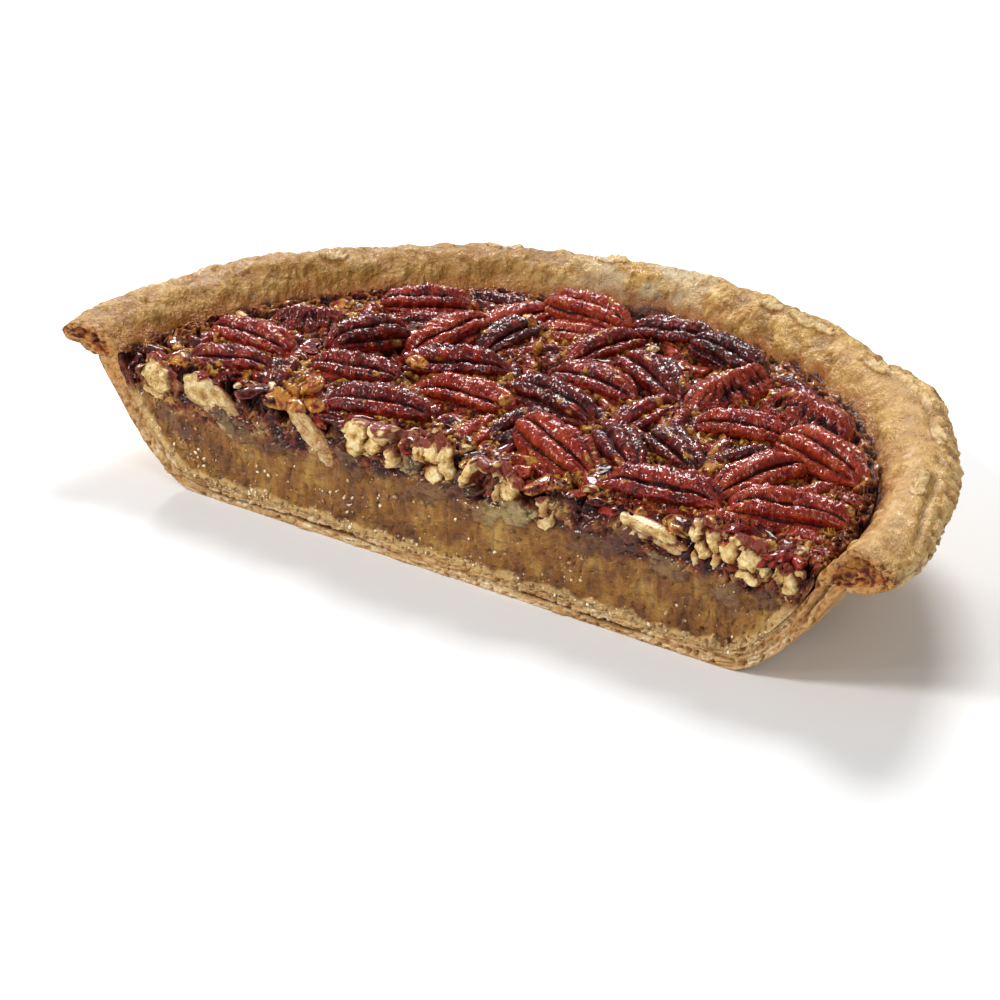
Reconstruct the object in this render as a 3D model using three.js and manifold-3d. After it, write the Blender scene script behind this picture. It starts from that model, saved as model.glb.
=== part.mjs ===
// Half of a pecan pie, baked in a deep 9 inch pan, turned out of it and cut across its middle.
// Millimetres, +Z up. The pie stands on its flat base and the knife cut faces -Y.
// Everything is made round the whole pie's axis, and the group then puts the half on its own centre.
import * as THREE from "three";
import { mergeVertices } from "three/addons/utils/BufferGeometryUtils.js";
import Module from "manifold-3d";

const wasm = await Module();
wasm.setup();

// The pie's driving dimensions.
const FOOT_RADIUS = 80; // edge of the flat base
const WALL_FLARE = 30; // how far the wall leans out on its way up
const WALL_HEIGHT = 30; // base to the underside of the rim
const WALL_CURVE = 0.64; // below 1 the wall leaves the base nearly flat, then steepens
const CRUST = 5; // thickness of the wall
const FLOOR = 4.2; // thickness of the base
const RIM = { radius: 113, height: 34.5, halfWidth: 9, halfThickness: 5 }; // the rolled edge
const RIM_INSIDE = { radius: 102.8, height: 30.5 }; // where the rim's slope meets the filling
const CUSTARD_TOP = 18; // where the plain filling ends and the nuts begin
const FILL_LEVEL = 29.5; // top of the glazed filling under the pecan halves
const GAP = 0.3; // between solids that touch

const TURN_STEPS = 104; // facets round the whole pie
const RADIAN = Math.PI / 180;

// Pecan halves.
const WIDTH_SHARE = 0.5; // a half's width for its length
const HEIGHT_SHARE = 0.26; // and its height
const AROUND = 12;
const ALONG = 5;
const OVERLAP = 0.78; // how much of its width a half keeps to itself, as halves lie on each other
const TIPS = [[3, -2], [10, 0], [-10, 0], [0, 9], [0, -9], [-4, 3]]; // ways to lean: roll, pitch
const LIFT = 0.3; // step by which a half is raised until it is clear
const ROUNDS = 600; // rounds of spreading the halves
const WALL_PUSH = 0.5; // share of an overlap with the crust or the cut undone in each round
const HALF_PUSH = 0.2; // and of an overlap between two halves
const SUNK = 3; // how deep a low half lies in the filling
const FROM_CUT = 0.6; // room between a whole half and the cut

// How the halves lie on top: [x, y, turn of the long axis in degrees, length]. The low ones went
// in first and are half sunk in the filling, and the others lie on it and on them.
const LOW_HALVES = [
  [-62, 17, -60, 20], [-65, 59, 115, 19], [-48, 12, -55, 18], [-50, 64, 22, 22],
  [-47, 84, 25, 21], [-36, 77, 72, 22], [-28, 67, 88, 20], [-18, 80, 18, 22],
  [-19, 63, 50, 20], [-4, 16, 88, 19], [5, 27, 72, 19], [35, 52, -62, 19],
  [25, 51, 78, 19], [56, 42, 65, 20], [83, 32, 72, 19], [90, 7, 10, 16],
  [47, 84, -25, 22], [69, 12, 15, 16],
];
const HIGH_HALVES = [
  [-76, 12, 15, 23], [-81, 27, 0, 25], [-48, 27, 15, 25], [-55, 41, 75, 25],
  [-31, 12, 15, 27], [-60, 73, 40, 24], [-40, 56, 70, 24], [-29, 43, 25, 28],
  [-16, 30, 5, 26], [2, 39, -6, 27], [17, 19, -18, 28], [31, 28, -42, 25],
  [-18, 91, -2, 26], [-6, 76, 72, 23], [3, 92, 10, 24], [23, 90, -8, 24],
  [14, 68, -28, 27], [5, 56, -7, 25], [47, 55, 14, 24], [42, 37, -32, 24],
  [67, 34, 70, 27], [76, 51, -18, 28], [84, 18, 20, 29], [54, 11, 8, 30],
];
// Halves that lie with their flat side up.
const TURNED_HALVES = [
  [-74, 46, 30, 21], [37, 75, 75, 27], [58, 70, -14, 28],
];
// Halves that the knife went through, on the cut: [x, z of the middle, width, height].
const CUT_HALVES = [
  [-90, 28, 8, 13], [-72, 24, 19, 7], [-42, 24, 17, 7], [-21, 29.5, 15, 8],
  [-5, 30, 10, 11], [13, 29, 14, 9], [28, 25, 7, 7], [40, 22.5, 11, 7],
  [57, 27.5, 17, 6], [73, 30, 7, 13], [84, 29.5, 13, 11], [95.5, 27, 8, 8],
];
const CUT_DEPTH = 7; // how far a cut half reaches back from the knife

// Outside radius of the wall at a height above the base.
const wallRadius = (z) => FOOT_RADIUS + WALL_FLARE * (z / WALL_HEIGHT) ** WALL_CURVE;

// Inside of the crust at a height of its outside: the wall's thickness, square to its slope.
function innerWall(z) {
  const step = 0.05;
  const slope = (wallRadius(z + step) - wallRadius(z - step)) / (2 * step);
  const across = CRUST / Math.hypot(1, slope);
  return new THREE.Vector2(wallRadius(z) - across, z + across * slope);
}

// Inside radius at a true height, found by halving. Near the top the wall stands up straighter,
// under the inner edge of the rim.
function insideRadius(height) {
  let low = 0.1;
  let high = WALL_HEIGHT;
  for (let i = 0; i < 40; i++) {
    const middle = (low + high) / 2;
    if (innerWall(middle).y < height) low = middle;
    else high = middle;
  }
  return Math.min(innerWall(low).x, RIM_INSIDE.radius);
}

// The crust's outline from the axis out along the base, up the wall, round the rim and back inside.
// Outside, the rim rolls over sharply; from its top it slopes gently in to the filling.
function crustOutline() {
  const outside = [0.8, 3, 7, 12, 18, 25].map((z) => new THREE.Vector2(wallRadius(z), z));
  const rim = [];
  for (let a = -115; a < 90; a += 34) {
    rim.push(new THREE.Vector2(
      RIM.radius + RIM.halfWidth * Math.cos(a * RADIAN),
      RIM.height + RIM.halfThickness * Math.sin(a * RADIAN),
    ));
  }
  for (const share of [0.8, 0.55, 0.3, 0]) {
    const rise = RIM.height + RIM.halfThickness - RIM_INSIDE.height;
    rim.push(new THREE.Vector2(
      RIM_INSIDE.radius + (RIM.radius - RIM_INSIDE.radius) * share,
      RIM_INSIDE.height + rise * Math.sin((share * Math.PI) / 2),
    ));
  }
  const inside = [FILL_LEVEL, 27, 22, 17, 12, 8, 5.5].map((z) => new THREE.Vector2(insideRadius(z), z));
  return [
    new THREE.Vector2(0, 0),
    new THREE.Vector2(FOOT_RADIUS - 2, 0),
    ...outside,
    ...rim,
    ...inside,
    new THREE.Vector2(insideRadius(5.5) - 6, FLOOR),
    new THREE.Vector2(0, FLOOR),
  ];
}

// A filling's outline between two heights, a gap inside the crust.
function fillingOutline(bottom, top) {
  const heights = [0, 0.2, 0.5, 1].map((share) => bottom + (top - bottom) * share);
  const side = heights.map((z) => new THREE.Vector2(insideRadius(Math.max(z, 5.5)) - GAP * 1.6, z));
  if (bottom < 5.5) side[0].x -= 6;
  return [new THREE.Vector2(0, bottom), ...side, new THREE.Vector2(0, top)];
}

// The rolled rim is hand made: it wanders in and out and up and down by a millimetre or two.
function roughenRim(geometry) {
  const p = geometry.attributes.position;
  const start = RIM.radius - RIM.halfWidth;
  for (let i = 0; i < p.count; i++) {
    const radius = Math.hypot(p.getX(i), p.getY(i));
    const turn = Math.atan2(p.getY(i), p.getX(i));
    const share = THREE.MathUtils.smoothstep(radius, start, start + 6)
      * THREE.MathUtils.smoothstep(p.getZ(i), WALL_HEIGHT - 4, WALL_HEIGHT);
    const out = 0.8 * Math.sin(9 * turn + 1) + 0.6 * Math.sin(17 * turn);
    const up = 0.5 * Math.sin(7 * turn + 2) + 0.4 * Math.sin(15 * turn + 1);
    const grown = 1 + (share * out) / Math.max(radius, 1);
    p.setXYZ(i, p.getX(i) * grown, p.getY(i) * grown, p.getZ(i) + share * up);
  }
  return geometry;
}

// A geometry as a manifold solid, and back.
function solidOf(geometry) {
  const bare = geometry.clone();
  bare.deleteAttribute("normal");
  bare.deleteAttribute("uv");
  const merged = mergeVertices(bare, 1e-3);
  return new wasm.Manifold(new wasm.Mesh({
    numProp: 3,
    vertProperties: merged.attributes.position.array,
    triVerts: new Uint32Array(merged.index.array),
  }));
}

function geometryOf(solid) {
  const mesh = solid.getMesh();
  const geometry = new THREE.BufferGeometry();
  geometry.setAttribute("position", new THREE.BufferAttribute(mesh.vertProperties, 3));
  geometry.setIndex(new THREE.BufferAttribute(mesh.triVerts, 1));
  geometry.computeVertexNormals();
  return geometry;
}

// What lies behind the knife.
const KEPT = solidOf(new THREE.BoxGeometry(400, 200, 200).translate(0, 100, 0));
const lathe = (outline) => new THREE.LatheGeometry(outline, TURN_STEPS).rotateX(Math.PI / 2);
const halved = (geometry) => solidOf(geometry).intersect(KEPT);

// A pecan half, dome up: a low sphere with its poles along X, a flat underside, and two grooves
// between a middle ridge and two side ridges.
function pecanHalf(length, flatSideUp) {
  const geometry = new THREE.SphereGeometry(1, AROUND, ALONG).rotateZ(-Math.PI / 2);
  const p = geometry.attributes.position;
  for (let i = 0; i < p.count; i++) {
    const belly = Math.sqrt(Math.max(0, 1 - p.getX(i) ** 2));
    const around = Math.atan2(p.getZ(i), p.getY(i));
    const onGroove = Math.abs(Math.abs(Math.cos(around)) - 0.5) < 0.1;
    const dome = Math.abs(Math.sin(around)) ** 0.6 * (onGroove ? 0.72 : 1);
    const rise = Math.sin(around) > 0 ? dome : -0.14 * Math.abs(Math.sin(around));
    p.setXYZ(
      i,
      (p.getX(i) * length) / 2,
      (belly * Math.cos(around) * length * WIDTH_SHARE) / 2,
      belly * rise * length * HEIGHT_SHARE,
    );
  }
  return flatSideUp ? geometry.rotateX(Math.PI) : geometry;
}

// Circles that cover a half's outline, for telling how close two of them lie.
function discs(half) {
  return [-0.74, -0.4, 0, 0.4, 0.74].map((share) => ({
    along: (share * half.length) / 2,
    x: half.x + Math.cos(half.turn) * share * half.length / 2,
    y: half.y + Math.sin(half.turn) * share * half.length / 2,
    radius: (half.length * WIDTH_SHARE * Math.sqrt(1 - share * share)) / 2,
  }));
}

// Moves a half by a push on one of its discs, and turns it a little with the push.
function nudge(half, disc, dx, dy) {
  half.x += dx;
  half.y += dy;
  const arm = disc.along * (Math.cos(half.turn) * dy - Math.sin(half.turn) * dx);
  half.turn += arm / (half.length * half.length);
}

// Spreads the halves until none lies far over another, or over the crust, the cut or a cut half.
function settle(halves) {
  const edge = insideRadius(FILL_LEVEL) - 1.5;
  const cut = CUT_HALVES.filter(([, z, , height]) => z + height / 2 > FILL_LEVEL + 2)
    .flatMap(([x, , width]) => [-0.3, 0, 0.3].map((share) => ({
      x: x + share * width, y: CUT_DEPTH / 2, radius: CUT_DEPTH / 2 + 0.4,
    })));
  for (let round = 0; round < ROUNDS; round++) {
    halves.forEach((half, i) => {
      for (const disc of discs(half)) {
        const out = Math.hypot(disc.x, disc.y);
        const past = out + disc.radius - edge;
        const push = (past / out) * WALL_PUSH;
        if (past > 0) nudge(half, disc, -disc.x * push, -disc.y * push);
        const short = FROM_CUT + disc.radius - disc.y;
        if (short > 0) nudge(half, disc, 0, short * WALL_PUSH);
        for (const other of cut) {
          const far = Math.hypot(disc.x - other.x, disc.y - other.y);
          const over = disc.radius + other.radius - far;
          if (over > 0) nudge(half, disc, 0, over * WALL_PUSH);
        }
      }
      for (let j = i + 1; j < halves.length; j++) {
        const next = halves[j];
        if (Math.hypot(half.x - next.x, half.y - next.y) > (half.length + next.length) / 2) continue;
        for (const a of discs(half)) {
          for (const b of discs(next)) {
            const far = Math.hypot(a.x - b.x, a.y - b.y) || 1;
            const over = (a.radius + b.radius) * OVERLAP - far;
            if (over <= 0) continue;
            const dx = ((a.x - b.x) / far) * over * HALF_PUSH;
            const dy = ((a.y - b.y) / far) * over * HALF_PUSH;
            nudge(half, a, dx, dy);
            nudge(next, b, -dx, -dy);
          }
        }
      }
    });
  }
  return halves;
}

// A half laid where it belongs: leaning whichever way lets it lie lowest on what is there.
function layDown(half, lying) {
  let best = { top: Infinity };
  const room = 1 + (2 * GAP) / half.length;
  for (const [roll, pitch] of TIPS) {
    const geometry = pecanHalf(half.length, half.kind === "turned")
      .rotateX(roll * RADIAN)
      .rotateY(pitch * RADIAN)
      .rotateZ(half.turn);
    geometry.computeBoundingBox();
    let height = FILL_LEVEL + GAP - geometry.boundingBox.min.z - (half.kind === "low" ? SUNK : 0);
    let solid = solidOf(geometry.clone().scale(room, room, room)).translate(half.x, half.y, height);
    while (lying.some((other) => solid.intersect(other).volume() > 0)) {
      solid = solid.translate(0, 0, LIFT);
      height += LIFT;
    }
    const top = height + geometry.boundingBox.max.z;
    if (top < best.top) best = { top, geometry, height, solid };
  }
  return best;
}

// A half that the knife went through: a lobed oval face on the cut, rounding off behind it.
function cutHalf([x, z, width, height], index) {
  const outline = 11;
  const rings = [[0, 1], [0.55, 0.86], [1, 0.4]];
  const points = [];
  for (const [back, size] of rings) {
    for (let k = 0; k < outline; k++) {
      const a = (k / outline) * 2 * Math.PI;
      const lobe = 0.92 + 0.08 * Math.sin(3 * a + index);
      points.push(
        x + (Math.cos(a) * size * lobe * width) / 2,
        back * CUT_DEPTH,
        z + (Math.sin(a) * size * lobe * height) / 2,
      );
    }
  }
  points.push(x, 0, z, x, CUT_DEPTH, z);
  const front = rings.length * outline;
  const faces = [];
  for (let k = 0; k < outline; k++) {
    const n = (k + 1) % outline;
    faces.push(front, k, n, front + 1, 2 * outline + n, 2 * outline + k);
    for (let r = 0; r < 2; r++) {
      const a = r * outline;
      const b = a + outline;
      faces.push(a + k, b + k, a + n, a + n, b + k, b + n);
    }
  }
  const geometry = new THREE.BufferGeometry();
  geometry.setAttribute("position", new THREE.Float32BufferAttribute(points, 3));
  geometry.setIndex(faces);
  return geometry;
}

const baked = new THREE.MeshStandardMaterial({ color: 0xc39353, roughness: 0.75, metalness: 0 });
const custardLook = new THREE.MeshStandardMaterial({ color: 0x9a6a2c, roughness: 0.3, metalness: 0 });
const glazeLook = new THREE.MeshStandardMaterial({ color: 0x4a2a12, roughness: 0.3, metalness: 0 });
const pecanSkin = new THREE.MeshStandardMaterial({ color: 0x6e2318, roughness: 0.3, metalness: 0 });
const pecanFlesh = new THREE.MeshStandardMaterial({ color: 0xd9c08a, roughness: 0.5, metalness: 0 });

const pie = new THREE.Group();

function add(name, geometry, material) {
  const mesh = new THREE.Mesh(geometry, material);
  mesh.name = name;
  pie.add(mesh);
  return mesh;
}

const numbered = (name, index) => `${name}_${String(index + 1).padStart(2, "0")}`;

// Crust and the two fillings.
add("crust", geometryOf(halved(roughenRim(lathe(crustOutline())))), baked);
add("custard", geometryOf(halved(lathe(fillingOutline(FLOOR + GAP, CUSTARD_TOP)))), custardLook);
let layer = halved(lathe(fillingOutline(CUSTARD_TOP + GAP, FILL_LEVEL)));

// Cut halves, each in its own pocket in the layer of nuts.
const lying = [];
CUT_HALVES.forEach((row, index) => {
  const [x, z, width, height] = row;
  const half = cutHalf(row, index);
  add(numbered("cut_pecan", index), half, pecanFlesh);
  lying.push(solidOf(half));
  const room = 2.8 * GAP;
  const pocket = cutHalf([x, z, width + room, height + room], index)
    .scale(1, 1 + (2 * GAP) / CUT_DEPTH, 1)
    .translate(0, -0.01, 0);
  layer = layer.subtract(solidOf(pocket));
});
add("pecan_layer", geometryOf(layer), glazeLook);

// Whole halves, the low ones first. Only what shows above the filling is made of a sunk one.
const halves = [["low", LOW_HALVES], ["high", HIGH_HALVES], ["turned", TURNED_HALVES]]
  .flatMap(([kind, rows]) => rows.map(([x, y, turn, length], index) => (
    { name: numbered(`pecan_${kind}`, index), kind, x, y, turn: turn * RADIAN, length }
  )));
settle(halves);
for (const half of halves) {
  const { geometry, height, solid } = layDown(half, lying);
  lying.push(solid);
  const above = solidOf(geometry).trimByPlane([0, 0, 1], FILL_LEVEL + GAP - height);
  add(half.name, geometryOf(above), pecanSkin).position.set(half.x, half.y, height);
}

// The origin lies under the middle of the half, on the surface that it stands on.
pie.updateMatrixWorld(true);
const whole = new THREE.Box3().setFromObject(pie);
pie.position.set(-(whole.min.x + whole.max.x) / 2, -(whole.min.y + whole.max.y) / 2, -whole.min.z);

export default pie;
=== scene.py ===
import math

import bmesh
import bpy
import numpy as np
from mathutils import Matrix, Vector, noise


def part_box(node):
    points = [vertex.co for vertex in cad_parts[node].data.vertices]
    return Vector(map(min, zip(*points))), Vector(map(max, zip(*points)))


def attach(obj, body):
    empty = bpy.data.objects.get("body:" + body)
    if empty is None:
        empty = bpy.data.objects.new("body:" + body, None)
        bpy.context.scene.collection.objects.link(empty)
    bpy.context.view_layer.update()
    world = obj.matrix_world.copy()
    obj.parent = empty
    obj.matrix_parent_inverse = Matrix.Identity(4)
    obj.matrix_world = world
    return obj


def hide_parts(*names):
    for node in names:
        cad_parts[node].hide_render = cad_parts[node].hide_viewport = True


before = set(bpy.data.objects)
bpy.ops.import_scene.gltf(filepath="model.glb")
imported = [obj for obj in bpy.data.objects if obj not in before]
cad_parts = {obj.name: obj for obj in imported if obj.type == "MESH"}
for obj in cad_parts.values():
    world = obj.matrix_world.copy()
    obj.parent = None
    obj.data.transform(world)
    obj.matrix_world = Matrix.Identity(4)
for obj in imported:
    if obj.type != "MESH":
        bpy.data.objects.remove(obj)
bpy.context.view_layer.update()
# Vector noise is seeded from the clock unless it is given a seed.
noise.seed_set(1)

# ---------------------------------------------------------------------------------------------
# The table, and the helpers that every finish is made with. It is a wide sheet of pale matt
# board, one flat face, that the half pie stands on and that lights the rim from below.
# ---------------------------------------------------------------------------------------------


class Value:
    """A number or colour that changes over a surface. Sums on it add Math nodes."""

    def __init__(self, finish, socket):
        self.finish = finish
        self.socket = socket

    def sum(self, operation, *others):
        return self.finish.node("Math", {"operation": operation}, dict(enumerate([self, *others])))

    def __add__(self, other):
        return self.sum("ADD", other)

    __radd__ = __add__

    def __sub__(self, other):
        return self.sum("SUBTRACT", other)

    def __rsub__(self, other):
        return self.finish.node("Math", {"operation": "SUBTRACT"}, {0: other, 1: self})

    def __mul__(self, other):
        return self.sum("MULTIPLY", other)

    __rmul__ = __mul__

    def between(self, low, high):
        """0 below low, 1 above high, and smooth in between."""
        settings = {"interpolation_type": "SMOOTHSTEP"}
        return self.finish.node("MapRange", settings, {0: self, 1: low, 2: high})

    def ramp(self, *stops):
        """The colour at this value among stops of (value, colour)."""
        return self.finish.node("ValToRGB", {"stops": stops}, {0: self})


def colour(text):
    """A colour from its usual six hexadecimal digits, as linear light."""
    parts = [int(text[i : i + 2], 16) / 255 for i in (0, 2, 4)]
    return (*[p / 12.92 if p < 0.04045 else ((p + 0.055) / 1.055) ** 2.4 for p in parts], 1)


class Finish:
    """A material, made of a Principled shader and the nodes that drive it."""

    def __init__(self, name, **sockets):
        self.material = bpy.data.materials.new(name)
        self.material.use_nodes = True
        self.tree = self.material.node_tree
        self.skin = self.tree.nodes["Principled BSDF"]
        self.wear(**sockets)
        self.place = self.node("TexCoord", output="Object")

    def wear(self, **sockets):
        """Sets the shader's sockets, with _ for each space in a name."""
        for socket, value in sockets.items():
            self.put(self.skin.inputs[socket.replace("_", " ")], value)

    def soak(self, weight, radius, scale):
        """Light that goes under the surface: its share, its reach by colour, and the scale."""
        self.wear(Subsurface_Weight=weight, Subsurface_Radius=radius, Subsurface_Scale=scale)

    def put(self, socket, value):
        if isinstance(value, Value):
            self.tree.links.new(value.socket, socket)
        else:
            socket.default_value = colour(value) if isinstance(value, str) else value

    def node(self, kind, settings=None, values=None, output=0):
        made = self.tree.nodes.new("ShaderNode" + kind)
        for key, value in (settings or {}).items():
            if key == "stops":
                elements = made.color_ramp.elements
                while len(elements) < len(value):
                    elements.new(1)
                for element, (position, tone) in zip(elements, value):
                    element.position = position
                    element.color = colour(tone)
            else:
                setattr(made, key, value)
        for key, value in (values or {}).items():
            self.put(made.inputs[key], value)
        return Value(self, made.outputs[output])

    def mark(self, name):
        """The value that the mesh carries under that name."""
        return self.node("Attribute", {"attribute_name": name}, output="Fac")

    def grain(self, size, detail=2, stretch=(1, 1, 1), turn=(0, 0, 0), seed=0):
        """Noise from 0 to 1, a size in millimetres across, longer along a stretched axis."""
        scale = tuple(1000 / (size * s) for s in stretch)
        place = self.node("Mapping", {}, {0: self.place, 1: (seed, seed, seed), 2: turn, 3: scale})
        return self.node("TexNoise", {}, {"Vector": place, "Scale": 1, "Detail": detail})

    def mix(self, share, first, second, way="MIX"):
        """The first colour where share is 0 and the second where it is 1."""
        settings = {"data_type": "RGBA", "blend_type": way}
        return self.node("Mix", settings, {0: share, 6: first, 7: second}, output=2)

    def over(self, base, *coats):
        """A colour with coats of (share, colour) laid over it, one after another."""
        for share, tone in coats:
            base = self.mix(share, base, tone)
        return base

    def emboss(self, height, depth):
        """Raises the surface by height, where 1 stands for a depth in millimetres."""
        bump = self.node("Bump", {}, {"Height": height, "Distance": depth / 1000})
        self.put(self.skin.inputs["Normal"], bump)


board = Finish("table board", Base_Color=(0.86, 0.86, 0.86, 1), Roughness=0.8)
TABLE_HALF = 4
table_mesh = bpy.data.meshes.new("table")
corners = [(-1, -1), (1, -1), (1, 1), (-1, 1)]
table_mesh.from_pydata([(x * TABLE_HALF, y * TABLE_HALF, 0) for x, y in corners], [], [(0, 1, 2, 3)])
table_mesh.materials.append(board.material)
table = bpy.data.objects.new("table", table_mesh)
bpy.context.scene.collection.objects.link(table)

# ---------------------------------------------------------------------------------------------
# Light and camera. A studio: a broad soft box high behind the pie, a key from the front left
# and a weak fill from the right, seen through a long lens from the right of the cut.
# ---------------------------------------------------------------------------------------------

scene = bpy.context.scene
scene.view_settings.view_transform = "Standard"
world = bpy.data.worlds.new("studio")
world.use_nodes = True
world.node_tree.nodes["Background"].inputs["Color"].default_value = (1, 1, 1, 1)
world.node_tree.nodes["Background"].inputs["Strength"].default_value = 0.24
scene.world = world

# The pie's centre: under the middle of the cut, in metres.
crust_low, crust_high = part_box("crust")
AXIS = Vector(((crust_low.x + crust_high.x) / 2, crust_low.y, crust_low.z))


def soft_box(name, place, aim, size, power):
    light = bpy.data.lights.new(name, "AREA")
    light.shape = "RECTANGLE"
    light.size, light.size_y = size
    light.energy = power
    holder = bpy.data.objects.new(name, light)
    holder.location = AXIS + Vector(place)
    holder.rotation_euler = (Vector(aim) - Vector(place)).to_track_quat("-Z", "Y").to_euler()
    scene.collection.objects.link(holder)


soft_box("overhead", (-0.35, 0.75, 0.95), (0, 0.05, 0.03), (0.42, 0.42), 12)
soft_box("key", (-0.5, -0.7, 0.9), (0, 0.03, 0.02), (0.3, 0.3), 9)
soft_box("fill", (0.9, -0.5, 0.6), (0, 0.03, 0.02), (0.5, 0.5), 3.5)
soft_box("glint behind", (-0.8, 0.65, 0.45), (0, 0.05, 0.03), (0.14, 0.14), 3.6)
soft_box("glint low", (-0.6, -0.9, 0.3), (0, 0, 0.02), (0.1, 0.1), 2)

AZIMUTH, ELEVATION, ROLL = math.radians(34.545), math.radians(25.787), math.radians(1.034)
DISTANCE = 1.154
AIM = AXIS + Vector((-0.0357, 0.0732, -0.0179))
flat = math.cos(ELEVATION)
back = Vector((math.sin(AZIMUTH) * flat, -math.cos(AZIMUTH) * flat, math.sin(ELEVATION)))
level = Vector((0, 0, 1)).cross(back).normalized()
upright = back.cross(level)
right = level * math.cos(ROLL) + upright * math.sin(ROLL)
up = upright * math.cos(ROLL) - level * math.sin(ROLL)
camera_data = bpy.data.cameras.new("camera")
camera_data.lens = 158.9
camera_data.sensor_width = 36
camera_data.clip_start = 0.05
camera = bpy.data.objects.new("camera", camera_data)
camera.matrix_world = Matrix.Translation(AIM + back * DISTANCE) @ Matrix(
    (right, up, back)
).transposed().to_4x4()
scene.collection.objects.link(camera)
scene.camera = camera

# ---------------------------------------------------------------------------------------------
# The crust. Short pastry, rolled out, pressed into the pan and turned over at the edge into a
# thick soft rim. It is one skin of points, by turn and along its section, pushed out into
# blisters, a crease and a torn outer edge.
# ---------------------------------------------------------------------------------------------

# Millimetres from the pie's centre. The rim's reach and height are the solid's.
REACH = (crust_high.x - crust_low.x) * 500
FOOT = 80
WALL_TOP = 30
WALL_FLARE = 30
WALL_CURVE = 0.64
CRUST = 5
FLOOR = 4.2
# Where the crust's inner face leaves its floor.
WALL_START = 5.5
RIM_MIDDLE = 113
RIM_HEIGHT = 34.5
RIM_HALF_WIDTH = REACH - 0.4 - RIM_MIDDLE
RIM_HALF_THICKNESS = 5
# The rim's inner foot, where the filling meets it.
INNER_EDGE = 102.6
INNER_LEVEL = 30.5
TURNS = 700


def smooth_step(low, high, x):
    share = np.clip((x - low) / (high - low), 0, 1)
    return share * share * (3 - 2 * share)


def waver(points, size, octaves=1, seed=0):
    """Smooth noise, about -1 to 1, at points of any shape (..., 3), a size across."""
    shift = np.array([17.3, 5.1, 11.7]) * (seed + 1)
    flat = (np.asarray(points) / size + shift).reshape(-1, 3)
    values = [noise.fractal(Vector(p), 1, 2, octaves) for p in flat]
    return np.array(values).reshape(np.shape(points)[:-1])


def wall_radius(z):
    return FOOT + WALL_FLARE * (np.maximum(z, 0) / WALL_TOP) ** WALL_CURVE


def inside_radius(height):
    """Radius of the crust's inner face at a height."""
    z = np.linspace(0.1, WALL_TOP, 200)
    slope = np.gradient(wall_radius(z), z)
    across = CRUST / np.hypot(1, slope)
    radius = np.interp(height, z + across * slope, wall_radius(z) - across)
    return np.minimum(radius, INNER_EDGE)


def cells(points, size, seed=0):
    """Distance to the nearest of scattered centres, the gap to the next, and a chance number."""
    shift = np.array([3.7, 15.1, 8.3]) * (seed + 1)
    found = []
    for p in (np.asarray(points) / size + shift).reshape(-1, 3):
        away, centres = noise.voronoi(Vector(p))
        found.append((away[0], away[1] - away[0], noise.noise(centres[0] * 5.3)))
    return np.moveaxis(np.array(found).reshape(*np.shape(points)[:-1], 3), -1, 0)


def section(turn, rows):
    """The crust's section at a turn from the pie's centre: outer and inner points, as pairs."""
    base_rows, wall_rows, rim_rows = rows
    base = np.linspace(0, FOOT - 2, base_rows, endpoint=False)
    height = WALL_TOP * 0.985 * np.linspace(0.06, 1, wall_rows) ** 1.5
    thin = 1 - 0.3 * smooth_step(2.5, 3.1, turn)
    angle = np.radians(np.linspace(-112, 0, rim_rows))
    low_rim = np.stack(
        [
            RIM_MIDDLE + RIM_HALF_WIDTH * np.cos(angle),
            RIM_HEIGHT + RIM_HALF_THICKNESS * thin * np.sin(angle) * (1 - 0.25 * np.cos(angle)),
        ],
        -1,
    )
    # Over the top the rim slopes gently in to the filling, and rolls over sharply outside.
    share = np.linspace(0, 2, rim_rows)
    inward = np.minimum(share, 1)
    outward = np.maximum(share - 1, 0)
    foot = INNER_EDGE + (RIM_MIDDLE - 1 - INNER_EDGE) * inward
    crown = INNER_LEVEL + (RIM_HEIGHT + 5 * thin - INNER_LEVEL) * np.sin(math.pi / 2 * inward)
    angle = math.pi / 2 * (1 - outward)
    over = RIM_MIDDLE - 1 + (RIM_HALF_WIDTH + 1) * np.cos(angle)
    fall = RIM_HEIGHT + RIM_HALF_THICKNESS * thin * np.sin(angle)
    high_rim = np.stack([np.where(share < 1, foot, over), np.where(share < 1, crown, fall)], -1)
    outer = np.concatenate(
        [
            np.stack([base, 0 * base], -1),
            np.stack([wall_radius(height), height], -1),
            low_rim,
        ]
    )
    floor_edge = inside_radius(WALL_START) - 6
    inner_height = np.linspace(WALL_START, INNER_LEVEL, wall_rows)
    inner = np.concatenate(
        [
            np.stack([np.linspace(0, floor_edge, base_rows, endpoint=False), FLOOR + 0 * base], -1),
            np.stack([inside_radius(inner_height), inner_height], -1),
            high_rim,
        ]
    )
    return outer, inner


def crease_radius(turn):
    """Where the rolled edge folds under, to the right of the pie."""
    return 119.5 - 2.6 * smooth_step(0, 0.4, turn) - 4.6 * smooth_step(0.6, 1.1, turn)


# Turns at which the rim is nicked and at which flour was left on it.
NOTCH_AT = 1.02
FLOUR_AT = 1.72
# Pale flakes that lifted off the rim: turn, radius, half length and half width. One is big.
FLAKES = [(1.25, 113, 8, 2.6)]
flaking = np.random.default_rng(8)
for place in np.linspace(0.3, 2.5, 7):
    reach, long, broad = flaking.uniform((112, 3.5, 1.7), (118, 6.5, 2.6))
    FLAKES.append((place + flaking.uniform(-0.15, 0.15), reach, long, broad))


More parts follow.
